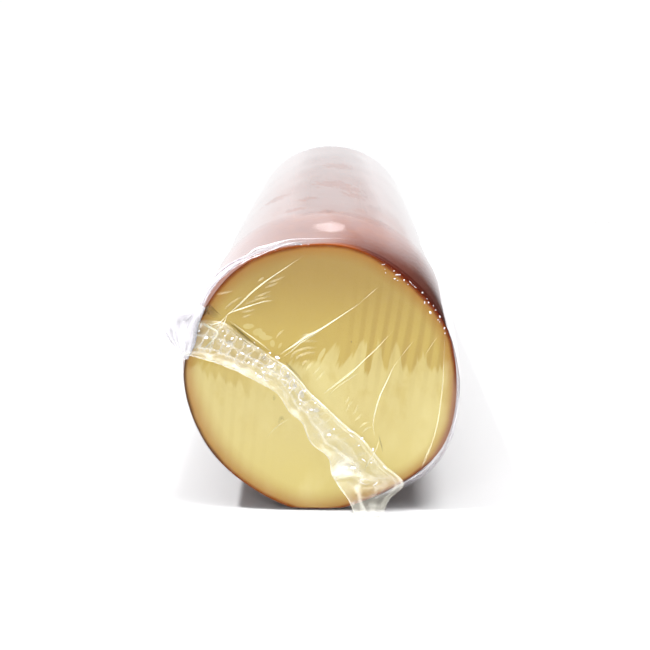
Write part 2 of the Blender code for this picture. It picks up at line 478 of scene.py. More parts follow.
@dataclass(frozen=True)
class LogForm:
    """The outside of the tight film: a pressed round, swelling from the cut rim to a blunt far end."""

    length: float = 0.333
    radius: float = 0.052
    rim_radius: float = 0.050
    rim_swell_length: float = 0.050
    rest_flat_depth: float = 0.0008
    cut_tilt: float = math.radians(3.4)
    back_edge_radius: float = 0.012
    back_dome: float = 0.002
    round_share: float = 1.047
    press_sharpness: int = 12
    round_left: float = 0.35
    round_fade_length: float = 0.060
    face_crowding: float = 1.6
    side_crowding: float = 1.7
    rounding_rings: int = 6
    back_edge_rings: int = 12
    dome_rings: int = 13
    pole_depth: float = 0.05
    pressed: tuple[tuple[float, float, float, float], ...] = (
        (48, 0.071, 0.0, 0.008),
        (4, 0.055, 0.2, 0.030),
        (-64, 0.064, 0.35, 0.060),
        (-125, 0.061, 0.35, 0.060),
        (-160, 0.049, 0.35, 0.060),
        (152, 0.043, 0.35, 0.060),
        (97, 0.031, 0.35, 0.040),
    )

    def body_radius(self, along: Field) -> np.ndarray:
        """Return the radius at distances behind the cut face."""
        return self.rim_radius + (self.radius - self.rim_radius) * smooth_step(along / self.rim_swell_length)

    def section_share(self, angle: Field, along: Field) -> np.ndarray:
        """Return the section's radius as a share of the full one."""
        pressed = 1.0
        for degrees, depth, left, fade_length in self.pressed:
            facing = np.maximum(np.cos(angle - math.radians(degrees)), 0)
            here = depth * (left + (1 - left) * np.exp(-along / fade_length))
            pressed = pressed + ((1 - here) ** -self.press_sharpness - 1) * facing**self.press_sharpness
        fullness = self.round_left + (1 - self.round_left) * np.exp(-along / self.round_fade_length)
        return (1 + (self.round_share - 1) * fullness) * pressed ** (-1 / self.press_sharpness)

    def centre_height(self, along: Field) -> np.ndarray:
        """Return the height of the section's centre."""
        return self.body_radius(along) * self.section_share(-math.pi / 2, along) - self.rest_flat_depth

    def place(
        self,
        radius: np.ndarray,
        angle: np.ndarray,
        along: np.ndarray,
        lift: Field = 0.0,
        floor: float = 0.0,
    ) -> np.ndarray:
        """Return points of the log.

        Args:
            radius: distance from the axis before the section is pressed.
            angle: direction from the axis, from +X.
            along: distance behind the cut face.
            lift: how much further out the points lie.
            floor: the lowest height that a point may have.

        Returns:
            The points, in the frame of the model.
        """
        reach = radius * self.section_share(angle, np.maximum(along, 0)) + lift
        height = reach * np.sin(angle)
        lean = math.tan(self.cut_tilt) * height * (1 - along / self.length)
        z = np.maximum(self.centre_height(np.maximum(along, 0)) + height, floor)
        return np.stack(np.broadcast_arrays(reach * np.cos(angle), along + lean - self.length / 2, z), -1)

    def far_dome(self, radius: np.ndarray) -> np.ndarray:
        """Return how far the far end swells out at a distance from its middle."""
        return self.back_dome * np.maximum(0, 1 - (radius / (self.radius - self.back_edge_radius)) ** 2)

    @staticmethod
    def quarter_turn(steps: int) -> np.ndarray:
        """Return the angles of the rings round an edge, without its start."""
        return np.linspace(0, math.pi / 2, steps + 1)[1:]

    def profile(self, inset: float, rounding: float, face_rings: int, body_rings: int) -> Profile:
        """Return the turned half outline, without its two poles.

        Args:
            inset: how far inside the film's outside the outline lies.
            rounding: radius of the edge of the cut face.
            face_rings: how many rings the cut face has.
            body_rings: how many rings the side has.

        Returns:
            Radius and distance behind the cut face of each ring, from the face's middle to the far end's.
        """
        rim = self.rim_radius - inset
        shares = np.linspace(0, 1, face_rings + 1)[1:]
        face = (rim - rounding) * (1 - (1 - shares) ** self.face_crowding)
        turn = self.quarter_turn(self.rounding_rings)
        corner, start = self.length - self.back_edge_radius, rounding + inset
        shares = np.linspace(0, 1, body_rings + 1)[1:]
        side = start + (corner - start) * shares**self.side_crowding
        radii = [face, rim - rounding * (1 - np.sin(turn)), self.body_radius(side) - inset]
        places = [np.full(face_rings, inset), inset + rounding * (1 - np.cos(turn)), side]
        turn = self.quarter_turn(self.back_edge_rings)
        edge, depth = self.back_edge_radius - inset, self.back_edge_radius - self.back_dome
        radii.append(self.radius - inset - edge * (1 - np.cos(turn)))
        places.append(corner + (depth - inset) * np.sin(turn))
        inner = (self.radius - self.back_edge_radius) * np.linspace(1, 0, self.dome_rings + 2)[1:-1]
        radii.append(inner)
        places.append(self.length - self.back_dome + self.far_dome(inner) - inset)
        return np.concatenate(radii), np.concatenate(places)

    def solid(
        self,
        name: str,
        profile: Profile,
        around: int,
        floor: float,
        lift: Callable[[np.ndarray, np.ndarray], np.ndarray] | None = None,
    ) -> bpy.types.Object:
        """Return a closed mesh turned from a profile and pressed to the log's form.

        Args:
            name: the object's name.
            profile: radius and distance behind the cut face of each ring.
            around: how many points a ring has.
            floor: the lowest height that a point may have.
            lift: how much further out its side lies, from angles and distances behind the cut face.

        Returns:
            The object, with how far each point lies inside the rim as its rim_depth.
        """
        radii, places = profile
        angles, along = np.meshgrid(round_angles(around), places)
        extra = lift(angles, along) if lift else 0.0
        radius = np.repeat(radii[:, None], around, 1)
        full = self.body_radius(np.maximum(along, 0))
        rings = self.place(radius, angles, along, extra * (radius > 0.9 * full), floor)
        poles = self.place(np.zeros(2), np.zeros(2), places[[0, -1]])
        vertices = np.vstack([rings.reshape(-1, 3), poles])
        item = mesh_object(name, vertices, ring_faces(len(radii), around))
        rim = self.rim_radius * self.section_share(angles, 0.0)
        reach = radius * self.section_share(angles, np.maximum(along, 0))
        set_attributes(item.data, rim_depth=with_poles(rim - reach, self.pole_depth))
        return item

    def rim_points(self, angles: np.ndarray, outward: Field) -> np.ndarray:
        """Return points on the cut face's plane at a distance outside the rim."""
        radius = self.rim_radius * self.section_share(angles, 0.0) + outward
        return np.stack([radius * np.cos(angles), radius * np.sin(angles)], -1)

    def face_matrix(self) -> Matrix:
        """Return the cut face's frame: its centre, +X right, +Y up the face and +Z out of it."""
        centre = Matrix.Translation((0, -self.length / 2, float(self.centre_height(0.0))))
        return centre @ Matrix.Rotation(math.pi / 2 - self.cut_tilt, 4, "X")

    def on_face(self, flat: np.ndarray, out: Field) -> np.ndarray:
        """Return points of the cut face's frame in the model's frame.

        Args:
            flat: places on the face, right and up, in metres.
            out: how far each stands out of the face.

        Returns:
            The points, in the frame of the model.
        """
        local = np.concatenate([flat, np.broadcast_to(out, flat.shape[:-1])[..., None]], -1)
        frame = np.array(self.face_matrix())
        return local @ frame[:3, :3].T + frame[:3, 3]


# ---------------------------------------------------------------- finishes


@dataclass(frozen=True)
class RindFinish:
    """Smoked brown rind: red brown, mottled by the smoke, darker where the film lies wet on it and as
    painted shade.
    """

    brown: Colour = (106, 57, 43)
    dark: Colour = (79, 38, 28)
    light: Colour = (138, 90, 58)
    # colour of the wet patch, dark enough to also paint the upper right shoulder's shade
    wet: Colour = (72, 30, 20)
    edge: Colour = (50, 19, 11)
    roughness: float = 0.42
    blotch_share: float = 0.5
    mottle_share: float = 0.3

    def material(self) -> bpy.types.Material:
        """Return the rind's material."""
        shader = Shader("smoked_rind")
        blotch = shader.noise(38, 4, (1.0, 0.45, 1.0)).step(0.42, 0.68)
        mottle = shader.noise(210, 5).step(0.35, 0.75)
        grain = shader.noise(1500, 2)
        colour = shader.stain(linear(self.brown), self.dark, blotch * self.blotch_share)
        colour = shader.stain(colour, self.light, mottle * self.mottle_share)
        # wet film on the rind, and painted shade: darker at the upper right behind the rim
        colour = shader.stain(colour, self.wet, shader.attribute("wet"))
        colour = shader.stain(colour, self.edge, shader.attribute("edge"))
        shader.set(Base_Color=colour, Roughness=self.roughness + 0.15 * mottle)
        shader.relief(grain * 0.3 + mottle, 0.4, 0.0002)
        return shader.material


@dataclass(frozen=True)
class PasteFinish:
    """Cut cheese under the film: tan above and darker towards the top as painted shade, pale yellow where
    the film touches it, and a smoked rim.

    Heights and widths are in millimetres from the middle of the cut face.
    """

    # darker tan for the top of the face: painted shade
    tan_top_shade: Colour = (159, 132, 74)
    tan: Colour = (183, 160, 89)
    pale: Colour = (199, 184, 124)
    low: Colour = (197, 181, 111)
    light: Colour = (210, 198, 140)
    band: Colour = (161, 135, 74)
    rim_amber: Colour = (150, 96, 34)
    rim_orange: Colour = (116, 54, 4)
    rim_brown: Colour = (108, 46, 12)
    rim_side: Colour = (66, 18, 4)
    rim_dark: Colour = (82, 54, 32)
    rim_mauve: Colour = (150, 112, 92)
    rim_unevenness: float = 0.8
    amber_depth: float = 6.2
    amber_low_extra: float = 3.0
    amber_fall: float = 1.3
    mauve_share: float = 0.8
    low_share: float = 0.8
    cloud_share: float = 0.62
    mottle_share: float = 0.40
    band_pitch: float = 4.3
    band_slant: float = 0.13
    band_waviness: float = 4.2
    band_share: float = 0.50
    band_share_lost: float = 0.34
    contact_slant: float = 0.42
    contact_unevenness: float = 1.4
    stroke_height: float = 3.0
    drip_height: float = 5.0
    roughness: float = 0.45
    specular: float = 0.06
    contact_edge: Points = (
        (-3.3, 6.9), (-0.8, 7.6), (0.7, 8.8), (1.7, 12.9), (3.5, 14.8), (5.4, 12.5), (6.5, 6.9), (7.9, 6.2),
        (9.3, 8.4), (10.8, 10.3), (12.6, 14.4), (14.3, 16.7), (15.8, 13.7), (16.6, 4.7), (18.5, 3.2),
        (19.4, 11.5), (20.5, 16.7), (21.9, 13.7), (23.1, 6.3), (25, 5.5), (25.9, 12.3), (27.3, 15.6),
        (28.8, 13.8), (30, 6.3), (31.8, 5.9), (33, 3.3), (34.4, 4.1), (35.4, 9.3), (37.1, 11.6),
        (39.4, 7.8), (42, 4.9), (46.6, 8.3),
    )
    islands: tuple[Bead, ...] = (
        (-26.2, 20.7, 1.8, 0.99, 0),
        (-22.8, 18.5, 1.98, 1.52, 0),
        (-19.9, 16.5, 2.34, 0.91, 0),
        (-21.4, 17.4, 1.44, 1.52, 0),
        (-17.6, 14.4, 0.79, 1.29, 0),
        (-14.9, 13.6, 0.58, 1.14, 0.5),
        (-5.5, 6.1, 0.72, 1.9, 0.5),
        (-0.1, 9.9, 0.79, 2.66, 0.5),
    )
    form: LogForm = LogForm()

    def material(self) -> bpy.types.Material:
        """Return the cut face's material."""
        shader = Shader("cut_cheese")
        right = shader.node("ShaderNodeSeparateXYZ", None, {0: shader.place}, "X") * 1000
        height = shader.node("ShaderNodeSeparateXYZ", None, {0: shader.place}, "Z") * 1000
        up = height - 1000 * float(self.form.centre_height(0.0))
        bands = self.bands(shader, right, up)
        colour = self.face_colour(shader, up, bands, self.contact(shader, right, up))
        colour = self.rim_colour(shader, colour, right, up)
        shader.set(Base_Color=colour, Roughness=self.roughness, Specular_IOR_Level=self.specular)
        shader.relief(shader.noise(600, 3) + bands * 0.5, 0.12, 0.0003)
        return shader.material

    def face_colour(self, shader: Shader, up: Link, bands: Link, touching: Link) -> Link:
        """Return the open face's colour: tan, painted shade towards the top, pale and clouded where the film
        touches.
        """
        down = 0 - up
        # painted shade: the face darkens towards its top
        colour = shader.stain(linear(self.tan), self.tan_top_shade, up.step(14, 46))
        colour = shader.stain(colour, self.pale, touching)
        colour = shader.stain(colour, self.low, down.step(10, 45) * self.low_share)
        cloud = shader.noise(70, 3, (1.0, 1.0, 0.5)).step(0.45, 0.75)
        colour = shader.stain(colour, self.light, cloud * touching * self.cloud_share)
        mottle = shader.noise(170, 3, (1.0, 1.0, 0.55)).step(0.50, 0.72) * (1 - down.step(2, 26))
        colour = shader.stain(colour, self.tan, mottle * touching * self.mottle_share)
        return shader.stain(colour, self.band, bands * (self.band_share - self.band_share_lost * touching))

    def rim_colour(self, shader: Shader, colour: Link, right: Link, up: Link) -> Link:
        """Return the face's colour with the smoked rim laid over it, amber inside and brown at its edge."""
        down, left = 0 - up, 0 - right
        bare_depth = shader.attribute("rim_depth") * 1000
        depth = bare_depth - self.rim_unevenness * (shader.noise(120, 2) - 0.5)
        reach = self.amber_depth + self.amber_low_extra * down.step(-8, 12) * (1 - right.step(10, 40))
        amber = (1 - depth / reach).maths("MAXIMUM", 0.0) ** self.amber_fall
        colour = shader.stain(colour, self.rim_amber, amber)
        edge = shader.stain(linear(self.rim_orange), self.rim_brown, right.step(2, 26))
        edge = shader.stain(edge, self.rim_dark, left.step(26, 44) * down.step(-20, -6))
        colour = shader.mix(colour, edge, 1 - depth.step(0.5, 1.9))
        side = (1 - bare_depth.step(0.05, 0.40)) * right.step(6, 20)
        colour = shader.stain(colour, self.rim_side, side)
        wet_edge = right.step(34, 46) * down.step(-6, 6) * (1 - depth.step(1.0, 3.2))
        return shader.stain(colour, self.rim_mauve, wet_edge * self.mauve_share)

    def bands(self, shader: Shader, right: Link, up: Link) -> Link:
        """Return the knife's faint bands, 0 to 1, leaning as the blade did."""
        lean = right - up * self.band_slant + self.band_waviness * shader.noise(45, 2, (1.0, 1.0, 0.3))
        wave = (lean * (2 * math.pi / self.band_pitch)).maths("SINE") * 0.5 + 0.5
        down, left = 0 - up, 0 - right
        upper_right = right.step(2, 22) * (1 - down.step(-8, 16))
        lower_left = left.step(12, 34) * down.step(-12, 2)
        return wave.step(0.25, 0.95) * (upper_right + 0.5 * lower_left)

    def contact(self, shader: Shader, right: Link, up: Link) -> Link:
        """Return where the film touches the wet cheese and shows it pale, 0 to 1, as by brush strokes."""
        middle = self.contact_edge[0][1]
        slant = right - (up - middle) * self.contact_slant * (1 - right.step(8, 24))
        edge = self.edge_height(shader, slant + self.contact_unevenness * shader.noise(160, 2))
        edge = edge + self.stroke_height * (self.strokes(shader, slant, up, 0.55, 0.06) - 0.5)
        touching = 1 - (up - edge).step(-2.2, 1.0)
        drips = self.drip_height * self.strokes(shader, right, up, 0.42, 0.04)
        under_seal = (up + 0.45 * right + 13 + drips).step(-1.2, 1.6) * (0 - right).step(22, 30)
        patchy = 0.6 * under_seal + 0.30 * up.step(1, 12) * right.step(-8, 8)
        return (touching * (1 - patchy)).maths("MAXIMUM", self.pale_islands(shader, right, up))

    def edge_height(self, shader: Shader, across: Link) -> Link:
        """Return how high the contact reaches at each place across the face, from its measured edge."""
        places, heights = np.array(self.contact_edge).T
        start, width = places[0], places[-1] - places[0]
        low, rise = heights.min(), heights.max() - heights.min()
        shares = zip((places - start) / width, (heights - low) / rise)
        stops = [(float(place), (float(height),) * 3) for place, height in shares]
        share = (across - float(start)) / float(width)
        ramp = shader.node("ShaderNodeValToRGB", {"stops": stops}, {0: share})
        return ramp * float(rise) + float(low)

    @staticmethod
    def strokes(shader: Shader, slant: Link, up: Link, fineness: float, length: float) -> Link:
        """Return a noise of 0 to 1 drawn out into strokes."""
        return shader.texture(shader.point(X=slant * fineness, Y=up * length), 1.0, 2.0).step(0.28, 0.72)

    def pale_islands(self, shader: Shader, right: Link, up: Link) -> Link:
        """Return the small pale islands beside the seal, 0 to 1: each a place, a half size and a slant."""
        uneven = 0.9 * (shader.noise(420, 2) - 0.5)
        share = right * 0
        for across, above, width, height, slant in self.islands:
            rise = up - above
            side = (right - across - rise * slant) / width
            reach = (side * side + (rise / height) ** 2.0).maths("SQRT") + uneven
            share = share.maths("MAXIMUM", 1 - reach.step(0.85, 1.1))
        return share * 0.75


@dataclass(frozen=True)
class FilmLook:
    """How one stretch of film looks.

    A stretch made as one skin shines with both sides of the film at once. A soft one fades out at its edges
    and has no mirror gloss of its own, as a fold pressed against the cheese; its tint paints highlight on
    white folds and shade on dark ones. Its whitest places, cloudy film and painted highlight, take a tint of
    their own.
    """

    name: str
    roughness: float
    tint: Light = (0.93, 0.92, 0.96, 1.0)
    facing_gloss: float = 0.037
    milk_and_sheen_tint: Light | None = None
    one_skin: bool = False
    soft: bool = False
    streak_length: float = 0.012
    streak_share: float = 0.22
    relief: float = 0.15


class FilmKind(Enum):
    """The bag's stretches of film."""

    WRAP = FilmLook("wrap", 0.025, facing_gloss=0.006, one_skin=True)
    SEAL = FilmLook(
        "seal",
        0.06,
        tint=(1.0, 0.975, 0.83, 1.0),
        facing_gloss=0.006,
        milk_and_sheen_tint=(1.0, 0.98, 0.88, 1.0),
        streak_length=0.006,
        streak_share=0.30,
        relief=0.25,
    )
    # lip: its white is partly painted highlight on the lip's crest
    LIP = FilmLook("lip", 0.09, (0.70, 0.67, 0.72, 1.0), streak_length=0.016, streak_share=0.16, relief=0.30)
    # folds: a pale yellow white that paints their highlights, with no gloss
    FOLD = FilmLook("fold", 0.30, (1.0, 0.955, 0.68, 1.0), soft=True)
    # threads: a white that paints the highlights on the rim's fine folds
    THREAD = FilmLook("thread", 0.30, (0.86, 0.83, 0.88, 1.0), soft=True)
    EAR = FilmLook("ear", 0.09, (0.81, 0.79, 0.83, 1.0), streak_length=0.016, streak_share=0.16, relief=0.30)
    SHADE = FilmLook("shade", 0.40, (0.24, 0.19, 0.25, 1.0), soft=True)
    # dark tint that paints shade beside creases and in pockets of film
    CREASE = FilmLook("crease_shade", 0.40, (0.11, 0.075, 0.03, 1.0), soft=True)
    BEAD = FilmLook("bead", 0.04, (0.97, 0.97, 1.0, 1.0))


@dataclass(frozen=True)
class FilmFinish:
    """Clear film: see-through, glossier at a glance, white where its haze and streak attributes say: cloudy
    film and painted highlight.
    """

    gloss_power: float = 5.2
    most_milk_and_sheen: float = 0.94
    soft_power: float = 1.6

    def material(self, kind: FilmKind) -> bpy.types.Material:
        """Return a film material.

        Args:
            kind: which stretch of film it is for.

        Returns:
            The material.
        """
        look = kind.value
        shader = Shader("clear_film_" + look.name)
        turned = shader.node("ShaderNodeLayerWeight", None, {"Blend": 0.5}, "Facing")
        haze = self.haze(shader, look)
        if look.soft:
            alpha = haze * (1 - turned) ** self.soft_power
            shader.set(Base_Color=look.tint, Roughness=look.roughness, Alpha=alpha)
            return shader.material
        gloss = turned**self.gloss_power * (1 - look.facing_gloss) + look.facing_gloss
        if look.one_skin:
            gloss = 2 * gloss / (1 + gloss) * (1 - shader.attribute("clung"))
        alpha = 1 - (1 - gloss) * (1 - haze)
        colour = shader.mix(look.tint, look.milk_and_sheen_tint, haze.step(0.08, 0.22)) if look.milk_and_sheen_tint else look.tint
        shader.set(Base_Color=colour, Metallic=gloss / alpha, Roughness=look.roughness, Alpha=alpha)
        shader.relief(shader.noise(900, 3, (1.0, 0.35, 1.0)), look.relief, 0.0002)
        return shader.material

    def haze(self, shader: Shader, look: FilmLook) -> Link:
        """Return how white the film is, 0 to 1, cloudy and painted highlight, with streaks along its own
        length.
        """
        along = shader.attribute("along") / look.streak_length
        across = shader.attribute("across") / look.streak_share
        streaks = shader.texture(shader.point(X=along, Y=across), 1.0, 4.0).step(0.42, 0.66)
        milk_plus_sheen = shader.attribute("haze") + shader.attribute("streak") * streaks
        return milk_plus_sheen.maths("MINIMUM", self.most_milk_and_sheen)


# ---------------------------------------------------------------- pieces


@dataclass
class Cheese:
    """The log of cheese: its rind, and the paste that shows at the cut."""

    form: LogForm
    rind_inset: float = 0.0005
    rind_rounding: float = 0.0009
    wet_shade_reach: float = 0.034
    wet_shade_middle: float = 44
    edge_reach: float = 0.0035
    edge_fade: float = 0.0020
    paste_inset: float = 0.0003
    paste_stand_out: float = 0.0004
    paste_lift: float = 0.0001
    paste_depth: float = 0.004
    paste_crowding: float = 1.8
    paste_rings: int = 40
    face_rings: int = 6
    around: int = 256

    def build(self) -> None:
        """Build both pieces."""
        radii, places = self.form.profile(self.rind_inset, self.rind_rounding, self.face_rings, 60)
        places[: self.face_rings] += self.paste_stand_out
        rind = self.form.solid("rind", (radii, places), self.around, self.rind_inset)
        turn, along = np.meshgrid(degrees_from(round_angles(self.around)), places)
        # painted shade with the wet film: the rind darkens round 44 degrees up the right, fading behind the
        # rim
        wet = smooth_step(1.7 - np.abs(turn - self.wet_shade_middle) / 30)
        wet = wet * (1 - smooth_step(along / self.wet_shade_reach))
        edge = smooth_step((self.edge_reach - along) / self.edge_fade) * bump(turn, 56, 44)
        set_attributes(rind.data, wet=with_poles(wet), edge=with_poles(edge))
        present(rind, RindFinish().material())
        present(self.paste(), PasteFinish().material())

    def paste(self) -> bpy.types.Object:
        """Return the disc of paste that stands just proud of the rind's edge."""
        rim = self.form.rim_radius - self.paste_inset
        shares = np.linspace(0, 1, self.paste_rings + 1)[1:]
        radii = [rim * (1 - (1 - shares) ** self.paste_crowding), [rim + 0.0001, rim, rim * 0.5]]
        front = np.full(self.paste_rings, self.rind_inset - self.paste_lift)
        front[-1] += self.paste_lift
        places = [front, [self.rind_inset + 0.0005, self.paste_depth, self.paste_depth]]
        profile = (np.concatenate(radii), np.concatenate(places))
        return self.form.solid("cut_paste", profile, self.around, 0.001)


@dataclass
class Wrap:
    """The tight film round the log, with loose film and fine wrinkles behind the cut rim."""

    form: LogForm
    rounding: float = 0.0005
    around: int = 384
    clear_haze: float = 0.002
    body_haze: float = 0.04
    far_sheen: float = 0.20
    loose_streak: float = 0.15
    loose_most: float = 0.002
    wrinkle_pitch: float = 0.0017
    wrinkle_height: float = 0.00004
    slow_height: float = 0.00005
    lowest: float = -0.00025
    patch_share: float = 0.26
    patch_unevenness: float = 0.35
    wet_turns: tuple[float, ...] = (45, 59, 76, 96)
    wet_start: float = 0.004
    damp_turns: tuple[float, ...] = (46, 54, 62, 76)
    damp_share: float = 0.24
    left_damp_share: float = 0.09
    clung: tuple[tuple[float, float, float, float], ...] = (
        (86.0, 132, 10.0, 12),
        (77.5, 121, 7.0, 8),
        (75.0, 101, 6.0, 10),
        (84.0, 208, 9.0, 12),
        (66.0, 74, 4.0, 15),
        (73.0, 58, 5.0, 6),
        (88.0, 46, 3.5, 4),
        (116.0, 116, 7.0, 8),
        (104.0, 60, 6.0, 4),
        (98.0, 85, 5.0, 5),
    )
    loose: tuple[tuple[float, float, float, float, float], ...] = (
        (140, 46, 0.0020, 0.0035, 0.0050),
        (-2, 26, 0.0016, 0.0130, 0.0180),
        (-40, 24, 0.0022, 0.0020, 0.0050),
    )

    def loose_height(self, angle: np.ndarray, along: np.ndarray) -> np.ndarray:
        """Return how far the loose film stands off the log."""
        height = np.zeros(angle.shape)
        for degrees, reach, most, place, length in self.loose:
            side = smooth_step(1 - np.abs(degrees_from(angle, degrees)) / reach)
            height += most * side * np.exp(-(((along - place) / length) ** 2))
        return height

    def wrinkles(self, angle: np.ndarray, along: np.ndarray) -> np.ndarray:
        """Return the fine relief of the film."""
        top = bump(degrees_from(angle), 95, 45)
        wave = np.sin(2 * math.pi * (along / self.wrinkle_pitch + 0.35 * ripple(angle * 3, along * 60, 3)))
        fine = self.wrinkle_height * wave * top * bump(along, 0.009, 0.010)
        slow = self.slow_height * ripple(angle * 4, along / 0.040, 5)
        return np.maximum(fine + slow * smooth_step(along / 0.01), self.lowest)

    def relief(self, angle: np.ndarray, along: np.ndarray) -> np.ndarray:
        """Return how far the film's outside lies off the tight form."""
        return self.loose_height(angle, along) + self.wrinkles(angle, along)

    def clinging(self, angle: np.ndarray, along: np.ndarray) -> np.ndarray:
        """Return the share of its gloss that the film loses where it clings to the rind.

        It clings in wavy patches along the top, and wetly behind the upper right of the rim.
        """
        turn = np.degrees(angle)
        share = np.zeros(angle.shape)
        for middle, place, reach, length in self.clung:
            away = np.hypot((turn - middle) / reach, (along * 1000 - place) / length)
            away = away + self.patch_unevenness * ripple(angle * 30, along / 0.007, 77)
            share = np.maximum(share, smooth_step((1.2 - away) / 0.5))
        fading = 0.013 + 0.026 * bump(turn, 70, 14)
        wet = window(turn, *self.wet_turns) * np.exp(-np.maximum(along - self.wet_start, 0) / fading)
        damp = self.damp_share * window(turn, *self.damp_turns) * bump(along, 0.060, 0.050)
        damp = damp + self.left_damp_share * bump(turn, 110, 14) * bump(along, 0.11, 0.09)
        return np.maximum(self.patch_share * share, np.maximum(wet, damp))

    def build(self) -> None:
        """Build the wrap."""
        profile = self.form.profile(0.0, self.rounding, 24, 150)
        item = self.form.solid("film_wrap", profile, self.around, 0.0, self.relief)
        angles, along = np.meshgrid(round_angles(self.around), profile[1])
        loose = np.clip(self.loose_height(angles, along) / self.loose_most, 0, 1)
        side = along > self.rounding
        stuck = smooth_step((ripple(angles * 4.2, along / 0.040, 9) - 0.55) / 0.5)
        body = self.body_haze * smooth_step(along / 0.030) * (1 - stuck)
        # painted sheen: the film whitens towards the far end, standing in for the grazing light's glare
        body = body + self.far_sheen * smooth_step((along - 0.14) / 0.18)
        set_attributes(
            item.data,
            clung=with_poles(self.clinging(angles, along) * side),
            haze=with_poles(self.clear_haze + body * side),
            streak=with_poles(self.loose_streak * loose * side),
            along=with_poles(angles * self.form.radius),
            across=with_poles(along / 0.010),
        )
        present(item, FilmFinish().material(FilmKind.WRAP))


class Strip:
    """A strip of film on the cut face, between two edges that run alongside each other."""

    def __init__(self, form: LogForm, first: np.ndarray, second: np.ndarray, rows: int) -> None:
        """Lay out the strip.

        Args:
            form: the log's form, whose cut face carries the strip.
            first: points of the edge at across 0, right and up on the face.
            second: points of the edge at across 1, as many.
            rows: how many rows of points lie across it.
        """
        self.form = form
        middle = (first + second) / 2
        steps = np.linalg.norm(np.diff(middle, axis=0), axis=1)
        length = np.concatenate([[0], np.cumsum(steps)])
        self.share, self.across = np.meshgrid(np.linspace(0, 1, len(first)), np.linspace(0, 1, rows))
        self.metres = np.broadcast_to(length, self.share.shape)
        self.flat = first[None] + (second - first)[None] * self.across[..., None]

    def object(self, name: str, out: np.ndarray, haze: np.ndarray, streak: np.ndarray) -> bpy.types.Object:
        """Return the strip's mesh object.

        Args:
            name: the object's name.
            out: how far each point stands out of the face.
            haze: how white the film is there, 0 to 1: cloudy film and painted highlight.
            streak: how strong its streaks are there, 0 to 1.

        Returns:
            The object, with the attributes that its film material reads.
        """
        item = sheet_object(name, self.form.on_face(self.flat, out))
        set_attributes(item.data, along=self.metres, across=self.across, haze=haze, streak=streak)
        return item


@dataclass
class CrimpRelief:
    """The crimped cells of a heat seal, raised by rule on a sheet that knows its own along and across."""

    pitch: float = 0.0034
    rows: float = 3.0
    depth: float = 0.00022
    border_haze: float = 0.37

    def tree(self) -> GeometryTree:
        """Return the geometry node tree."""
        tree = GeometryTree("crimp_relief")
        pitch, rows, depth, border, seed = tree.inputs(
            Pitch=self.pitch, Rows=self.rows, Depth=self.depth, Border=self.border_haze, Seed=1.0
        )
        inputs = {"W": seed, "Scale": 230.0, "Detail": 2.0}
        uneven = tree.node("ShaderNodeTexNoise", {"noise_dimensions": "4D"}, inputs)
        cells = (tree.named("along") / pitch + uneven * 1.1) * math.pi
        lines = (tree.named("across") * rows + uneven * 0.5) * math.pi
        pillow = (cells.maths("SINE").maths("ABSOLUTE") * lines.maths("SINE").maths("ABSOLUTE")) ** 0.55
        raised = pillow * depth * (uneven * 1.6)
        normal = tree.node("GeometryNodeInputNormal")
        offset = tree.scaled(normal, raised)
        inputs = {"Geometry": tree.entry_link("Geometry"), "Offset": offset}
        lifted = tree.node("GeometryNodeSetPosition", None, inputs)
        milk_plus_sheen = tree.named("haze") + border * tree.named("cells") * (1 - pillow) ** 3.0
        tree.finish(tree.store(lifted, "haze", milk_plus_sheen))
        return tree


class BeadScatter:
    """Small lens-shaped blisters and beads, scattered over a guide strip by a seeded rule."""

    def tree(self) -> GeometryTree:
        """Return the geometry node tree."""
        tree = GeometryTree("film_beads")
        density, spacing, smallest, largest, haze, seed = tree.inputs(
            Density=100000.0,
            Spacing=0.001,
            Smallest=(0.0003, 0.0002, 0.0001),
            Largest=(0.0008, 0.0005, 0.0003),
            Haze=0.8,
            Seed=1,
        )
        inputs = {
            "Mesh": tree.entry_link("Geometry"),
            "Distance Min": spacing,
            "Density Max": density,
            "Density Factor": tree.named("density"),
            "Seed": seed,
        }
        spread = tree.node("GeometryNodeDistributePointsOnFaces", {"distribute_method": "POISSON"}, inputs)
        facing = Link(tree, spread.socket.node.outputs["Rotation"])
        turn_inputs = {"Max": 2 * math.pi, "Seed": seed}
        turn = tree.node("FunctionNodeRandomValue", {"data_type": "FLOAT"}, turn_inputs, "Value")
        size_inputs = {"Min": smallest, "Max": largest, "Seed": seed}
        size = tree.node("FunctionNodeRandomValue", {"data_type": "FLOAT_VECTOR"}, size_inputs, "Value")
        tree.finish(tree.store(tree.beads(spread, facing, turn, size), "haze", haze))
        return tree


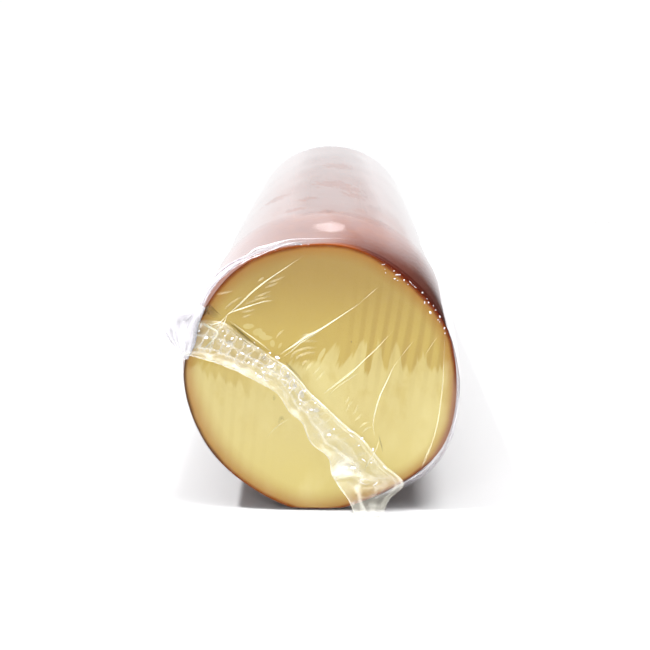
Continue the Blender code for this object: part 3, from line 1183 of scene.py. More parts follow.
@dataclass
class PlacedBeads:
    """Lens-shaped beads at measured places on the cut face, white as painted highlights.

    Each is how far right and up it lies and its half length and half width, in millimetres, and its turn in
    degrees.
    """

    form: LogForm
    flatness: float = 0.5
    unevenness: float = 0.0008

    def tree(self) -> GeometryTree:
        """Return the geometry node tree."""
        tree = GeometryTree("placed_beads")
        (haze,) = tree.inputs(Haze=0.9)
        facing = tree.point(X=math.pi / 2 - self.form.cut_tilt)
        long, wide = tree.named("long"), tree.named("wide")
        size = tree.point(X=long, Y=wide, Z=wide * self.flatness)
        real = tree.beads(tree.entry_link("Geometry"), facing, tree.named("turn"), size)
        uneven = tree.node("ShaderNodeTexNoise", None, {"Scale": 1500.0, "Detail": 1.0}, "Color")
        offset = tree.scaled(tree.vector("SUBTRACT", uneven, (0.5, 0.5, 0.5)), self.unevenness)
        uneven_beads = tree.node("GeometryNodeSetPosition", None, {"Geometry": real, "Offset": offset})
        tree.finish(tree.store(uneven_beads, "haze", haze))
        return tree

    def present(self, name: str, beads: Sequence[Bead], out: float, haze: float) -> None:
        """Build the beads of one piece and hand them over.

        Args:
            name: the piece's name.
            beads: the beads.
            out: how far they stand out of the face.
            haze: how white they are, 0 to 1, as painted highlight.
        """
        right, up, long, wide, turn = np.array(beads).T
        places = self.form.on_face(np.stack([right, up], -1) * MM, out)
        mesh = bpy.data.meshes.new(name)
        mesh.from_pydata(places.tolist(), [], [])
        set_attributes(mesh, long=long * MM, wide=wide * MM, turn=np.radians(turn))
        bead = FilmFinish().material(FilmKind.BEAD)
        present_grown(new_object(name, mesh), self.tree(), bead, Haze=haze)


@dataclass
class FrontSeal:
    """The bag's crimped seal, folded flat across the cut face, with a flared ear at the bottom."""

    form: LogForm
    ridge: Points = (
        (-0.0438, 0.0233), (-0.0395, 0.0231), (-0.0341, 0.0222), (-0.0274, 0.0165), (-0.0185, 0.0104),
        (-0.0106, 0.0045), (-0.0037, -0.0038), (0.0025, -0.0097), (0.0088, -0.0158), (0.015, -0.0209),
        (0.0233, -0.031), (0.0306, -0.038), (0.0252, -0.0438), (0.0224, -0.0505),
    )
    free_edge: Points = (
        (-0.05, 0.0109), (-0.0459, 0.0101), (-0.0405, 0.0083), (-0.0338, 0.0059), (-0.0257, 0.0018),
        (-0.0166, -0.0033), (-0.0119, -0.0103), (-0.007, -0.0149), (-0.0032, -0.0228), (0.0028, -0.0286),
        (0.0038, -0.0351), (0.007, -0.0399), (0.0104, -0.0442), (0.0132, -0.0505),
    )
    lip_widths: tuple[float, ...] = (
        0.08, 0.10, 0.18, 0.32, 0.40, 0.42, 0.38, 0.30, 0.34, 0.28, 0.50, 0.30, 0.30, 0.45,
    )
    # painted highlights: the seal's glints, as white beads
    glints: tuple[Bead, ...] = (
        (-41.3, 16.9, 0.77, 0.52, 20), (-43.8, 19.5, 0.46, 0.26, 60), (-35.2, 19.5, 0.46, 0.26, 30),
        (-34.5, 17.8, 0.31, 0.26, 0), (-36.1, 15.8, 0.46, 0.19, 50), (-34.9, 14.7, 0.46, 0.19, -50),
        (-33.5, 13.8, 0.61, 0.32, 10), (-32, 16.7, 0.61, 0.39, 50), (-28.9, 16.6, 0.31, 0.26, 0),
        (-26.1, 14, 0.77, 0.39, -5), (-28.5, 11.4, 0.77, 0.39, -20), (-30.3, 10.8, 0.31, 0.16, 20),
        (-22.7, 13.3, 0.46, 0.29, 10), (-24, 15.3, 0.31, 0.13, -30), (-26.2, 7.9, 0.54, 0.32, 40),
        (-23.2, 8.4, 0.46, 0.39, 10), (-24.6, 7.3, 0.31, 0.16, 0), (-20, 10.7, 0.23, 0.39, 0),
        (-18.4, 11.4, 0.46, 0.26, -35), (-15.7, 9.7, 1.07, 0.52, -20), (-18.3, 6.4, 1.22, 0.52, 10),
        (-17, 7.3, 0.61, 0.39, 40), (-20.7, 4.3, 0.61, 0.39, 10), (-22.3, 2.6, 0.92, 0.32, -20),
        (-23.6, 3.8, 0.46, 0.26, -40), (-21.4, 5.8, 0.31, 0.26, 0), (-13.7, 6.6, 0.31, 0.19, 0),
        (-12, 4, 0.23, 0.52, 10), (-13.8, 1.4, 0.77, 0.19, -20), (-9.7, 1, 0.23, 0.52, 10),
        (-11.3, -1.6, 0.46, 0.26, 0), (-5.8, -2.7, 0.46, 0.19, 50), (-7.3, -6.2, 0.46, 0.19, 0),
        (-7.7, -7.7, 0.31, 0.19, 0), (-3.1, -4.7, 0.46, 0.13, 20), (-2.2, -7.3, 0.46, 0.26, 20),
        (-3.6, -9.9, 0.61, 0.32, 20), (-4.8, -10.8, 0.31, 0.26, 0), (4.7, -17.2, 0.31, 0.32, 0),
        (2.9, -19.5, 0.77, 0.52, 20), (10.8, -18, 1.53, 0.18, -30), (11, -19.8, 1.07, 0.17, -35),
        (15, -20.8, 0.61, 0.45, 45), (15.9, -22, 0.61, 0.19, -40), (13.9, -23.5, 0.38, 0.32, 0),
        (19.1, -25.1, 0.27, 0.65, 0), (15.8, -29.3, 1.22, 0.18, -42), (18.5, -30.1, 0.31, 0.26, 0),
        (8.8, -32.1, 1.22, 0.52, -10), (11.8, -32.3, 1.22, 0.52, -10), (23.6, -32, 1.22, 0.18, -45),
        (20.2, -38.4, 1.22, 0.13, 40),
    )
    stand_off: float = 0.0009
    ridge_rise: float = 0.0009
    hem_rise: float = 0.0010
    lip_rise: float = 0.0005
    crumple_rise: float = 0.00022
    waviness: float = 0.00016
    wall: float = 0.00025
    ear_reach: float = 0.0045
    ear_start: float = 0.78
    clear_haze: float = 0.055
    edge_sheen: float = 0.30
    edge_sheen_lost: float = 0.12
    fold_sheen: float = 0.32
    curl_haze: float = 0.62
    hem_haze: float = 0.14
    tip_haze: float = 0.08
    streaks: float = 0.10
    glint_out: float = 0.0020
    glint_haze: float = 0.88
    columns: int = 420
    rows: int = 34

    def strip(self) -> Strip:
        """Return the seal's strip, from its free edge to its fold."""
        share = np.linspace(0, 1, self.columns)
        ridge = curve_points(self.ridge, share)
        free = curve_points(self.free_edge, share)
        outward = (free - ridge) / np.linalg.norm(free - ridge, axis=1)[:, None]
        free = free + outward * (self.waviness * ripple_along(share * 9, 21))[:, None]
        return Strip(self.form, free, ridge, self.rows)

    @staticmethod
    def ear(share: np.ndarray) -> np.ndarray:
        """Return how far the seal has opened into its bottom ear, 0 to 1."""
        return smooth_step((share - 0.84) / 0.08)

    def lip_width(self, share: np.ndarray) -> np.ndarray:
        """Return how much of the seal's width its plain lip takes up."""
        widths = curve_points([(width, 0.0) for width in self.lip_widths], share)[:, 0]
        return np.clip(widths * (1 + 0.15 * ripple_along(share * 16, 24)), 0.05, 0.8)

    def stand_out(self, strip: Strip, width: np.ndarray) -> np.ndarray:
        """Return how far the seal stands out of the face: its lip, hem, fold and curled ear."""
        share, across = strip.share, strip.across
        curl = self.ear_reach * smooth_step((share - self.ear_start) / (1 - self.ear_start))
        lip = self.lip_rise * smooth_step(1 - across / width)
        hem = self.hem_rise * bump(across, 0.06, 0.14)
        roll = self.ridge_rise * bump(across, 0.94, 0.09) * (1 - 0.8 * self.ear(share))
        crumple = self.crumple_rise * ripple(strip.metres / 0.005, across * 3, 23)
        return self.stand_off + curl + hem + lip + roll + crumple

    def milk_and_sheen_map(self, strip: Strip, width: np.ndarray) -> tuple[np.ndarray, np.ndarray]:
        """Return how white the seal is, cloudy film and painted highlight, and the strength of its streaks.
        """
        share, across, ear = strip.share, strip.across, self.ear(strip.share)
        lip_share = smooth_step(1 - across / width)
        lip_white = 0.03 + 0.15 * bump(share, 0.24, 0.13)
        # painted highlight: a white line along the free edge
        edge = smooth_step(1 - across / 0.04)
        doubled = 0.92 * smooth_step((share - 0.29) / 0.05) * (1 - 0.45 * smooth_step((share - 0.50) / 0.12))
        # painted highlight: the double white line along the fold
        fold = (0.08 + doubled) * (bump(across, 0.985, 0.035) + 0.7 * bump(across, 0.89, 0.03))
        curl = bump(share, 0.76, 0.05) * bump(across, 0.22, 0.30)
        fading = smooth_step(1 - share / 0.20) * smooth_step((across - 0.75) / 0.2)
        haze = self.clear_haze + lip_white * lip_share + (self.edge_sheen - self.edge_sheen_lost * ear) * edge
        haze = haze + self.fold_sheen * fold * (1 - 0.75 * ear) + self.curl_haze * curl
        haze = haze + self.hem_haze * bump(across, width, 0.07)
        haze = haze + self.tip_haze * smooth_step((share - 0.88) / 0.08)
        haze = haze * (1 - 0.6 * fading) - 0.05 * ear * (1 - edge)
        return haze, self.streaks + (0.02 + lip_white) * lip_share

    @staticmethod
    def cells(strip: Strip, width: np.ndarray) -> np.ndarray:
        """Return how clearly the crimped cells show, in the lane between the lip and the fold."""
        lane = window(strip.across, 0.7 * width, 0.7 * width + 0.15, 0.87, 0.93)
        return lane * (0.25 + 0.75 * smooth_step((0.62 - strip.share) / 0.25))

    def build(self) -> None:
        """Build the seal, its blisters, and its glints painted as white beads."""
        strip = self.strip()
        width = self.lip_width(strip.share[0])
        out = self.stand_out(strip, width)
        haze, streak = self.milk_and_sheen_map(strip, width)
        item = strip.object("film_front_seal", out, haze, streak)
        set_attributes(item.data, cells=self.cells(strip, width))
        CrimpRelief().tree().put_on(item, Material=FilmFinish().material(FilmKind.SEAL), Seed=2.0)
        thickened(item, self.wall)
        present(finished(item))
        blisters = strip.object("film_seal_blisters", out, haze, streak)
        density = bump(strip.across, 0.66, 0.26) * bump(strip.share, 0.40, 0.42)
        set_attributes(blisters.data, density=density)
        present_grown(
            blisters,
            BeadScatter().tree(),
            FilmFinish().material(FilmKind.BEAD),
            Density=90000.0,
            Spacing=0.0026,
            Smallest=(0.0008, 0.0006, 0.0004),
            Largest=(0.0017, 0.0011, 0.0007),
            Haze=0.03,
            Seed=3,
        )
        PlacedBeads(self.form).present("film_seal_glints", self.glints, self.glint_out, self.glint_haze)


@dataclass
class RimFilm:
    """Loose film round the cut rim: the streaky lip at the upper left, the skirt at the right, the ear."""

    form: LogForm
    wall: float = 0.0002
    lip_start: float = 0.0013
    lip: Points = (
        (156, 0.0044), (146.1, 0.00436), (141.9, 0.00375), (137.3, 0.00348), (130.7, 0.00261),
        (124.8, 0.00202), (119.2, 0.00159), (114.3, 0.0017), (109.3, 0.00143), (102.3, 0.00112),
        (98, 0.0004),
    )
    skirt: Points = (
        (14, 0.0003), (6, 0.0008), (-2, 0.0012), (-10, 0.0015), (-20, 0.002), (-30, 0.0026), (-38, 0.0034),
        (-46, 0.0034), (-56, 0.003), (-66, 0.0026),
    )
    # lip leaves: start, lean back, and a white that is cloudy film and painted highlight on the crest
    lip_leaves: tuple[tuple[float, float, float], ...] = ((0.0001, 0.0036, 0.40), (0.0009, 0.0044, 0.20))
    lip_rise: float = 0.0001
    lip_streak: float = 0.36
    skirt_start: float = -0.0002
    skirt_haze: float = 0.06
    skirt_streak: float = 0.16
    ear_leaves: tuple[tuple[float, float, float], ...] = (
        (0.0, 0.0045, 0.45),
        (0.0012, 0.0020, 0.40),
        (-0.0016, 0.0070, 0.30),
    )
    ear_streak: float = 0.4
    columns: int = 300
    ear_root: Points = ((-0.0412, 0.0280), (-0.0438, 0.0215), (-0.0452, 0.0150), (-0.0480, 0.0088))
    ear_edge: Points = ((-0.0452, 0.0290), (-0.0560, 0.0250), (-0.0575, 0.0180), (-0.0520, 0.0090))

    def ring_strip(self, stations: Points, inner: Field, rows: int) -> Strip:
        """Return a strip round the rim.

        Args:
            stations: angles and how far outside the rim the strip reaches there.
            inner: how far outside the rim it starts, at most 0.6 of its reach.
            rows: how many rows of points lie across it.
        """
        route = curve_points(stations, np.linspace(0, 1, self.columns))
        angles, reach = np.radians(route[:, 0]), route[:, 1]
        first = self.form.rim_points(angles, np.minimum(inner, 0.6 * reach))
        return Strip(self.form, first, self.form.rim_points(angles, reach), rows)

    def dress(self, item: bpy.types.Object, kind: FilmKind = FilmKind.LIP) -> None:
        """Give a strip its wall and its material, and hand it over."""
        item.data.materials.append(FilmFinish().material(kind))
        thickened(item, self.wall)
        present(finished(item))

    def build(self) -> None:
        """Build the lip's leaves, the skirt and the ear's leaves."""
        for leaf, values in enumerate(self.lip_leaves):
            self.build_lip(leaf, *values)
        self.build_skirt()
        for leaf, values in enumerate(self.ear_leaves):
            self.build_ear(leaf, *values)

    def build_lip(self, leaf: int, inner: float, back: float, haze: float) -> None:
        """Build a leaf of the lip: where it starts outside the rim, how far it leans back, and how white it
        is.
        """
        start = inner + self.lip_start * smooth_step(np.linspace(0, 1, self.columns) / 0.3)
        strip = self.ring_strip(self.lip, start, 22)
        share, across = strip.share, strip.across
        ends = window(share, 0, 0.1, 0.65, 1)
        wave = 0.0004 * ripple(strip.metres / 0.006, across * 1.5, 31 + leaf)
        out = self.lip_rise * bump(across, 0.35, 0.7) - back * across**1.5
        out = out + wave * ends * bump(across, 0.6, 0.6)
        # white of the lip: cloudy film and painted highlight on its crest
        white = ends * (0.12 + 0.88 * smooth_step((0.52 - share) / 0.14))
        self.dress(strip.object(f"film_rim_lip_{leaf + 1}", out, haze * white, self.lip_streak * white))

    def build_skirt(self) -> None:
        """Build the skirt at the right."""
        strip = self.ring_strip(self.skirt, self.skirt_start, 18)
        share, across = strip.share, strip.across
        ends = smooth_step(share / 0.3)
        out = 0.0005 * bump(across, 0.3, 0.6) - 0.004 * across**1.4
        out = out + 0.0003 * ripple(strip.metres / 0.009, across * 2, 41)
        # painted highlight: bright lines along the skirt's edges
        line = bump(across, 0.05, 0.08) * smooth_step((share - 0.5) / 0.2) + 0.5 * bump(across, 0.96, 0.06)
        haze = (self.skirt_haze + 0.4 * line) * ends
        self.dress(strip.object("film_rim_skirt", out, haze, self.skirt_streak * ends))

    def build_ear(self, leaf: int, pull: float, lean: float, haze: float) -> None:
        """Build a leaf of the left ear, from its edge's pull to the right, its lean back and its whiteness.
        """
        places = np.linspace(0, 1, 90)
        edge = curve_points(self.ear_edge, places) + np.array([pull, 0])
        strip = Strip(self.form, curve_points(self.ear_root, places), edge, 30)
        share, across = strip.share, strip.across
        crumple = 0.0011 * ripple(strip.metres / 0.008, across * 1.6, 51 + leaf) * smooth_step(across / 0.4)
        out = 0.0012 * (1 - across) + 0.0004 * leaf - lean * across**1.5 + crumple
        sides = window(share, 0, 0.15, 0.85, 1)
        inside = smooth_step(across / 0.22)
        milk_plus_sheen = haze * (0.5 + 0.5 * sides) * (0.25 + 0.75 * inside)
        streak = self.ear_streak * sides * inside
        self.dress(strip.object(f"film_ear_{leaf + 1}", out, milk_plus_sheen, streak), FilmKind.EAR)


@dataclass
class RimSparkle:
    """Trapped beads of air and whey along the upper right of the rim, white as their painted sparkle."""

    form: LogForm
    out: float = 0.0006
    # painted highlight: how white the sparkling beads are
    haze: float = 0.5
    places: tuple[Bead, ...] = (
        (22, 43.6, 0.73, 0.13, 10), (22.6, 41.8, 0.18, 0.17, 0), (22.8, 40.7, 0.14, 0.25, 0),
        (25.8, 41.3, 0.29, 0.25, 0), (26.2, 39.8, 0.22, 0.17, 0), (27.3, 39.9, 1.02, 0.2, 5),
        (26, 38.5, 0.29, 0.2, 0), (27.2, 37.9, 0.29, 0.13, 0), (29.4, 38, 0.22, 0.34, 0),
        (30.8, 36.4, 0.24, 0.17, 0), (31.7, 37.2, 0.73, 0.13, -50), (33.3, 35.5, 0.44, 0.14, -20),
        (32.4, 36.3, 0.29, 0.11, 0), (36, 33.5, 0.29, 0.34, 20), (36.9, 29.9, 0.22, 0.42, -20),
        (38.2, 29.9, 0.22, 0.25, 0), (37.6, 31.3, 0.29, 0.17, 0), (39.1, 26.3, 0.44, 0.42, 0),
        (40.9, 27.1, 0.22, 0.25, 20), (40, 28.7, 0.18, 0.25, 20), (42.5, 24.8, 0.24, 0.5, 10),
        (41.9, 23.6, 0.29, 0.17, 0), (42.4, 22.9, 0.44, 0.13, 60), (44.2, 20.5, 0.24, 0.5, 0),
        (44.4, 18.7, 0.14, 0.25, 0), (-8.9, 50.6, 0.44, 0.08, 0), (-7.1, 50.5, 0.29, 0.08, 0),
        (-4.6, 50.6, 0.44, 0.08, 0),
    )

    def build(self) -> None:
        """Build the beads."""
        PlacedBeads(self.form).present("film_rim_sparkles", self.places, self.out, self.haze)


@dataclass
class Stretch:
    """One fold of film: the places it runs through, its radius and how strongly its tint shows at each."""

    places: np.ndarray
    radii: np.ndarray
    haze: np.ndarray


@dataclass
class FoldSweep:
    """The rule that sweeps a round of film along wires, as thick as their radius attribute says."""

    sides: int = 10

    def tree(self) -> GeometryTree:
        """Return the geometry node tree."""
        tree = GeometryTree("fold_sweep")
        (sides,) = tree.inputs(Sides=self.sides)
        curve = tree.node("GeometryNodeMeshToCurve", None, {"Mesh": tree.entry_link("Geometry")})
        profile = tree.node("GeometryNodeCurvePrimitiveCircle", None, {"Resolution": sides, "Radius": 1.0})
        inputs = {"Curve": curve, "Profile Curve": profile, "Scale": tree.named("radius"), "Fill Caps": True}
        tree.finish(tree.node("GeometryNodeCurveToMesh", None, inputs))
        return tree

    def present(self, name: str, stretches: Sequence[Stretch], kind: FilmKind) -> None:
        """Build the folds of one piece and hand them over.

        Args:
            name: the piece's name.
            stretches: its folds.
            kind: which film they are of.
        """
        places = np.concatenate([stretch.places for stretch in stretches])
        last = set(np.cumsum([len(stretch.places) for stretch in stretches]) - 1)
        mesh = bpy.data.meshes.new(name)
        mesh.from_pydata(places.tolist(), [(at, at + 1) for at in range(len(places)) if at not in last], [])
        radii = np.concatenate([stretch.radii for stretch in stretches])
        set_attributes(mesh, radius=radii, haze=np.concatenate([stretch.haze for stretch in stretches]))
        present_grown(new_object(name, mesh), self.tree(), FilmFinish().material(kind))


def faded(share: np.ndarray, haze: float) -> np.ndarray:
    """Return a tint strength that fades towards both ends of a share of 0 to 1."""
    return haze * (1 - 0.85 * np.abs(2 * share - 1) ** 1.5)


@dataclass
class RimThreads:
    """Fine folds that run round the upper left of the rim.

    Each is a radius in millimetres, a tint strength, and stations of an angle and of millimetres outside the
    rim.
    """

    form: LogForm
    # white threads: painted highlights on the rim's fine folds
    routes: tuple[Route, ...] = (
        (0.2, 0.85, (
            (145.2, 4.31), (141.2, 3.71), (136.6, 3.49), (130.3, 2.77), (124.4, 2.14), (119, 1.72),
            (114.9, 2.38), (109.1, 1.91), (102.1, 2.11), (92.4, 1.34), (80.8, 1.85),
        )),
        (0.42, 0.72, (
            (119.4, 1.6), (115.1, 2.01), (112.1, 1.86), (109.1, 1.59), (105.6, 1.78), (102.1, 1.79),
        )),
        (0.17, 0.9, (
            (142.9, 0.71), (138.1, 0.95), (132.1, 0.77), (125.6, 0.39), (120.5, 0.08), (116.1, -0.14),
            (110.8, -0.05), (105.5, 0.39), (100.4, 0.81), (94.5, 0.76),
        )),
        (0.14, 0.6, (
            (141.5, 2.34), (136.9, 1.81), (130.4, 1.2), (124.5, 0.76), (119.6, 0.53), (115.2, 0.39),
            (109.7, 0.5), (104.7, 0.75), (99.5, 0.98),
        )),
        (0.22, 0.4, ((143, 2.87), (137.4, 2.5), (130.9, 1.97), (125.2, 1.31), (120.2, 0.96))),
    )
    shades: tuple[Route, ...] = (
        (0.17, 0.75, (
            (114.7, 1.72), (117.6, 1.75), (121.1, 1.69), (124.7, 1.96), (129.5, 2.37), (133.9, 2.88),
            (139.7, 3.27),
        )),
        (0.14, 0.6, ((143.2, 2.76), (138.1, 2.3), (132.8, 1.42), (127.2, 0.87), (121.4, 0.46))),
        (0.12, 0.55, ((143.1, 1.32), (138.6, 1.57), (132.8, 1.14), (126.6, 0.71))),
    )
    lean_back: float = 0.6
    stand_out: float = 0.0004
    away: float = 0.0005

    def build(self) -> None:
        """Build the threads."""
        threads = [self.thread(at, *route) for at, route in enumerate(self.routes)]
        FoldSweep().present("film_rim_threads", threads, FilmKind.THREAD)
        shades = [self.thread(at + 20, *route) for at, route in enumerate(self.shades)]
        FoldSweep().present("film_rim_shades", shades, FilmKind.SHADE)

    def thread(self, at: int, radius: float, haze: float, route: Points) -> Stretch:
        """Return one of the threads."""
        share = np.linspace(0, 1, 140)
        stations = curve_points(route, share)
        angles = np.radians(stations[:, 0])
        offset = stations[:, 1] * MM + self.away + 0.00010 * ripple_along(share * 9, 80 + at)
        swell = np.maximum(0.4, 1 + 0.35 * ripple_along(share * 14, 90 + at))
        thick = radius * MM * swell * np.maximum(0.2, np.sin(math.pi * share) ** 0.5)
        out = self.stand_out - self.lean_back * offset
        places = self.form.on_face(self.form.rim_points(angles, offset), out)
        return Stretch(places, thick, faded(share, haze))


@dataclass
class TensionFolds:
    """Thin folds of film that pull across the cut face: each a radius, a tint strength and a route in
    millimetres.
    """

    form: LogForm
    # white folds: their white paints the highlights along them
    routes: tuple[Route, ...] = (
        (0.28, 0.5, (
            (-6.2, 46.5), (-10.4, 43.7), (-13.7, 41.4), (-18.7, 38), (-21.8, 35.7), (-25, 33),
            (-29.5, 28.6), (-32.7, 25.9), (-34.6, 24.5),
        )),
        (0.55, 0.24, ((-14.6, 40.7), (-18.7, 38), (-21.8, 35.7), (-25, 33), (-29.5, 28.6), (-32.4, 26.1))),
        (0.3, 0.9, (
            (-34.6, 24.4), (-32.7, 25.7), (-30.5, 26.6), (-27.3, 27.7), (-24.1, 28.8), (-21, 29.7),
        )),
        (0.36, 0.34, ((-25.5, 28.3), (-22.3, 29.4), (-19.8, 30), (-17.2, 30.3))),
        (0.26, 0.9, ((-33.5, 25.1), (-35.7, 22.9), (-36.9, 22), (-39.1, 21.5), (-41.5, 21.8))),
        (0.24, 0.9, ((-33.8, 24.8), (-34.5, 23), (-35.4, 21.1), (-36.7, 19))),
        (0.22, 0.85, ((-34.6, 24), (-36.6, 21.8), (-38.5, 19.8))),
        (0.5, 0.8, (
            (-43.6, 22.5), (-41.2, 20.6), (-39, 19.6), (-37.4, 18.3), (-38.7, 16.2), (-41.3, 13.4),
            (-43.8, 10.8),
        )),
        (0.5, 0.75, ((-42.4, 22.1), (-39.9, 20.3), (-37.8, 19.1), (-36.9, 17.4))),
        (0.26, 0.6, ((-38, 17.2), (-39.9, 14.4), (-40.7, 10.4))),
        (0.22, 0.55, ((-45.9, 19.9), (-44.8, 17.7), (-42.5, 16.4))),
        (0.22, 0.55, ((-48.3, 15.8), (-46.4, 13.6), (-44.7, 11.5))),
        (0.22, 0.5, ((-42.2, 15.7), (-44.2, 13.6), (-46.3, 12.3))),
        (0.28, 0.88, (
            (-15.8, 9.8), (-13.1, 11.7), (-9.9, 13.8), (-5.8, 16.7), (0.1, 20), (8.5, 25.7), (14.4, 29.8),
        )),
        (0.7, 0.32, ((-13.8, 11.2), (-9.9, 13.9), (-5.8, 16.8), (0.1, 20.1), (7.5, 25.2))),
        (0.22, 0.6, ((-14.6, 9.1), (-11.1, 11.4), (-7.7, 14.5), (-3.3, 17.4), (1.4, 20.4))),
        (0.2, 0.26, ((13.2, 29), (17.1, 32.5), (20.6, 35.6))),
        (0.26, 0.5, ((0.3, -4.8), (3.2, -2.5), (9.6, 2.4), (15.9, 8.7), (20.2, 13), (25.8, 19.3))),
        (0.6, 0.22, ((1.4, -3.9), (5.4, -0.5), (10.5, 3.6), (14.8, 7.7))),
        (0.18, 0.36, ((2.3, -5.3), (6.1, -1.6), (10.5, 1.5), (14.1, 4.1))),
        (0.28, 0.62, (
            (28.2, 8.9), (26, 5.5), (24.5, 1.9), (21.8, -4.3), (20.1, -9.7), (19.1, -15.8), (19.9, -21.3),
        )),
        (0.5, 0.3, ((24.3, 1.6), (21.8, -4.3), (20.3, -9.3), (19.4, -14.3))),
        (0.16, 0.24, ((33.8, 16.4), (31, 12.7), (27.8, 8.2))),
        (0.15, 0.22, ((42.4, 18.3), (39.6, 13.8), (36.8, 9))),
        (0.22, 0.55, ((21.7, -20.1), (20.3, -25.9), (17.2, -31.4), (16.1, -34.2))),
        (0.24, 0.46, (
            (44.6, 20.5), (44.4, 10.1), (44.3, 1.1), (43.6, -8), (42.6, -16.1), (41.1, -22.4),
            (39.3, -27.3), (37.2, -33.2),
        )),
        (0.75, 0.3, ((41.1, -22.4), (40, -25.6), (38.8, -28.7), (37.3, -32.9))),
        (0.14, 0.35, ((-20.4, -21.4), (-16.1, -16.9), (-11, -13.4))),
        (0.24, 0.5, ((-33.5, 23.3), (-28.2, 19.2), (-22.8, 15.2), (-17.5, 10.9))),
    )
    # white rings: painted highlights round bubbles in the seal
    rings: tuple[Points, ...] = (
        (
            (-11.5, 5.4), (-12.2, 6.5), (-13.3, 6.8), (-14.3, 6), (-14.7, 4.6), (-14.2, 3.3), (-13.2, 2.7),
            (-12.1, 3.1), (-11.5, 4.3),
        ),
        (
            (-8.9, 0), (-9, 1.2), (-9.8, 1.7), (-10.7, 1.3), (-11.4, 0.2), (-11.5, -1), (-10.9, -1.9),
            (-10, -1.8), (-9.1, -0.9),
        ),
        (
            (-4.9, -4.2), (-5.4, -2.9), (-6.5, -2.4), (-7.6, -3), (-8.2, -4.5), (-8, -6), (-7.1, -6.8),
            (-5.9, -6.6), (-5.1, -5.4),
        ),
        (
            (-18.4, 2.9), (-18.9, 3.8), (-19.8, 3.9), (-20.6, 3.4), (-20.9, 2.4), (-20.5, 1.4), (-19.7, 1),
            (-18.8, 1.3), (-18.3, 2.2),
        ),
        (
            (18.4, -37.5), (17.6, -36.8), (16.2, -36.6), (14.9, -36.8), (14.4, -37.5), (15, -38.1),
            (16.2, -38.6), (17.6, -38.5), (18.4, -38),
        ),
    )
    arcs: tuple[Points, ...] = (
        ((-10.9, 11.3), (-10, 13.4), (-7.8, 14.9), (-4.8, 15.5), (-1, 15.3)),
        ((-11, 8.5), (-10.4, 10.2), (-8.6, 11.7), (-5, 12.9), (-1.5, 12.9)),
        ((-9.3, 8), (-8.7, 9.3), (-7.2, 10.2), (-4.5, 11.1), (-2.1, 11)),
        ((-7, 6.1), (-6.2, 7.5), (-4.6, 8.5)),
        ((-5.5, 4.2), (-4.4, 6), (-3.1, 7.6)),
        ((-7.6, 17.1), (-4.8, 17.8), (-1.9, 17.6)),
    )
    strokes: tuple[Points, ...] = (
        ((-22.9, 36.9), (-21.5, 37.9), (-20.2, 38.7)),
        ((-34.7, 26.8), (-32.2, 29.3), (-28.1, 31.9)),
        ((-37.5, 32.5), (-34.8, 32.9), (-31.2, 33.9)),
        ((-19.6, 36.4), (-16.5, 37.5), (-12.7, 39.1)),
        ((-20.3, 34.8), (-17.8, 35.7), (-15.1, 36.9)),
        ((-24.1, 31.2), (-21.4, 32.3), (-17.7, 33.8)),
        ((-27.7, 28.6), (-24.1, 30.2), (-21, 31.2), (-17.8, 32)),
        ((-28.7, 25.9), (-26.4, 26.3), (-23.5, 27)),
        ((-28.5, 24), (-26.9, 24.5), (-24.9, 25.2)),
        ((-16.3, 16.5), (-15, 18.2), (-13.4, 19.7)),
        ((-3, 2.7), (-1.5, 4.5), (0.1, 6.1)),
        ((-1.9, 0.6), (-0.1, 2.5), (1.2, 4.3)),
        ((8.7, -8.2), (9.7, -6.7), (10.4, -5.3)),
        ((11.6, -12.4), (12.9, -10.3), (13.5, -8.4)),
        ((12.2, -14.7), (13.7, -13.4), (14.8, -12.1)),
        ((9.1, -11.3), (10.1, -9), (11.3, -7.1)),
        ((13.9, -17.4), (15.6, -15.9), (17.8, -15)),
        ((15, -19.3), (16.7, -17.6), (18.7, -17.1)),
    )
    stroke_radius: float = 0.55
    stroke_haze: float = 0.18
    arc_radius: float = 0.74
    arc_haze: float = 0.20
    blunt: float = 0.45
    point_pitch: float = 0.0007
    unevenness: float = 0.2
    thinnest: float = 0.08
    ring_radius: float = 0.16
    ring_sheen: float = 0.75
    ring_out: float = 0.0020
    sunk: float = -0.0001
    # painted shade: dark lines and wedges beside creases and in pockets under the folds' feet, and one dark
    # dot
    shade_creases: tuple[Route, ...] = (
        (0.34, 0.36, ((-34.2, 23), (-30.7, 20.2), (-27.1, 16.8), (-23.6, 13.9))),
        (1.5, 0.22, ((-32.5, 21.3), (-29.3, 18.3), (-25.7, 15.2), (-21.4, 11.8))),
        (2.3, 0.34, ((-42.5, 24.3), (-40.6, 26.9), (-38.9, 25.6), (-36.7, 23.8))),
        (0.45, 0.34, ((-42.5, 24.2), (-41.1, 26.7), (-40.3, 29.3))),
        (0.28, 0.26, ((-40.2, 29.1), (-38.1, 26.6), (-35.3, 24.2))),
        (1.1, 0.3, ((-45.7, 19.9), (-44.4, 18.8), (-43.2, 17.7))),
        (1.1, 0.3, ((-48.1, 16), (-46.9, 14.7), (-45.7, 13.8))),
        (0.65, 0.17, ((-17.3, -4.7), (-17.2, -6.1), (-17.4, -7.2))),
        (0.85, 0.18, ((-15.9, -16), (-14.6, -13.5), (-13.5, -14.7))),
        (0.24, 0.9, ((10.6, 15.2), (10.9, 15.2), (11.2, 15.2))),
        (0.55, 0.2, ((-13.5, 8.1), (-10.3, 4.6), (-6.6, 0.5))),
        (0.4, 0.18, ((21.1, -19.9), (22.1, -23.6), (22.9, -27.1))),
        (0.3, 0.34, ((30.3, -37.3), (31.2, -37.9), (32.3, -37.1))),
    )

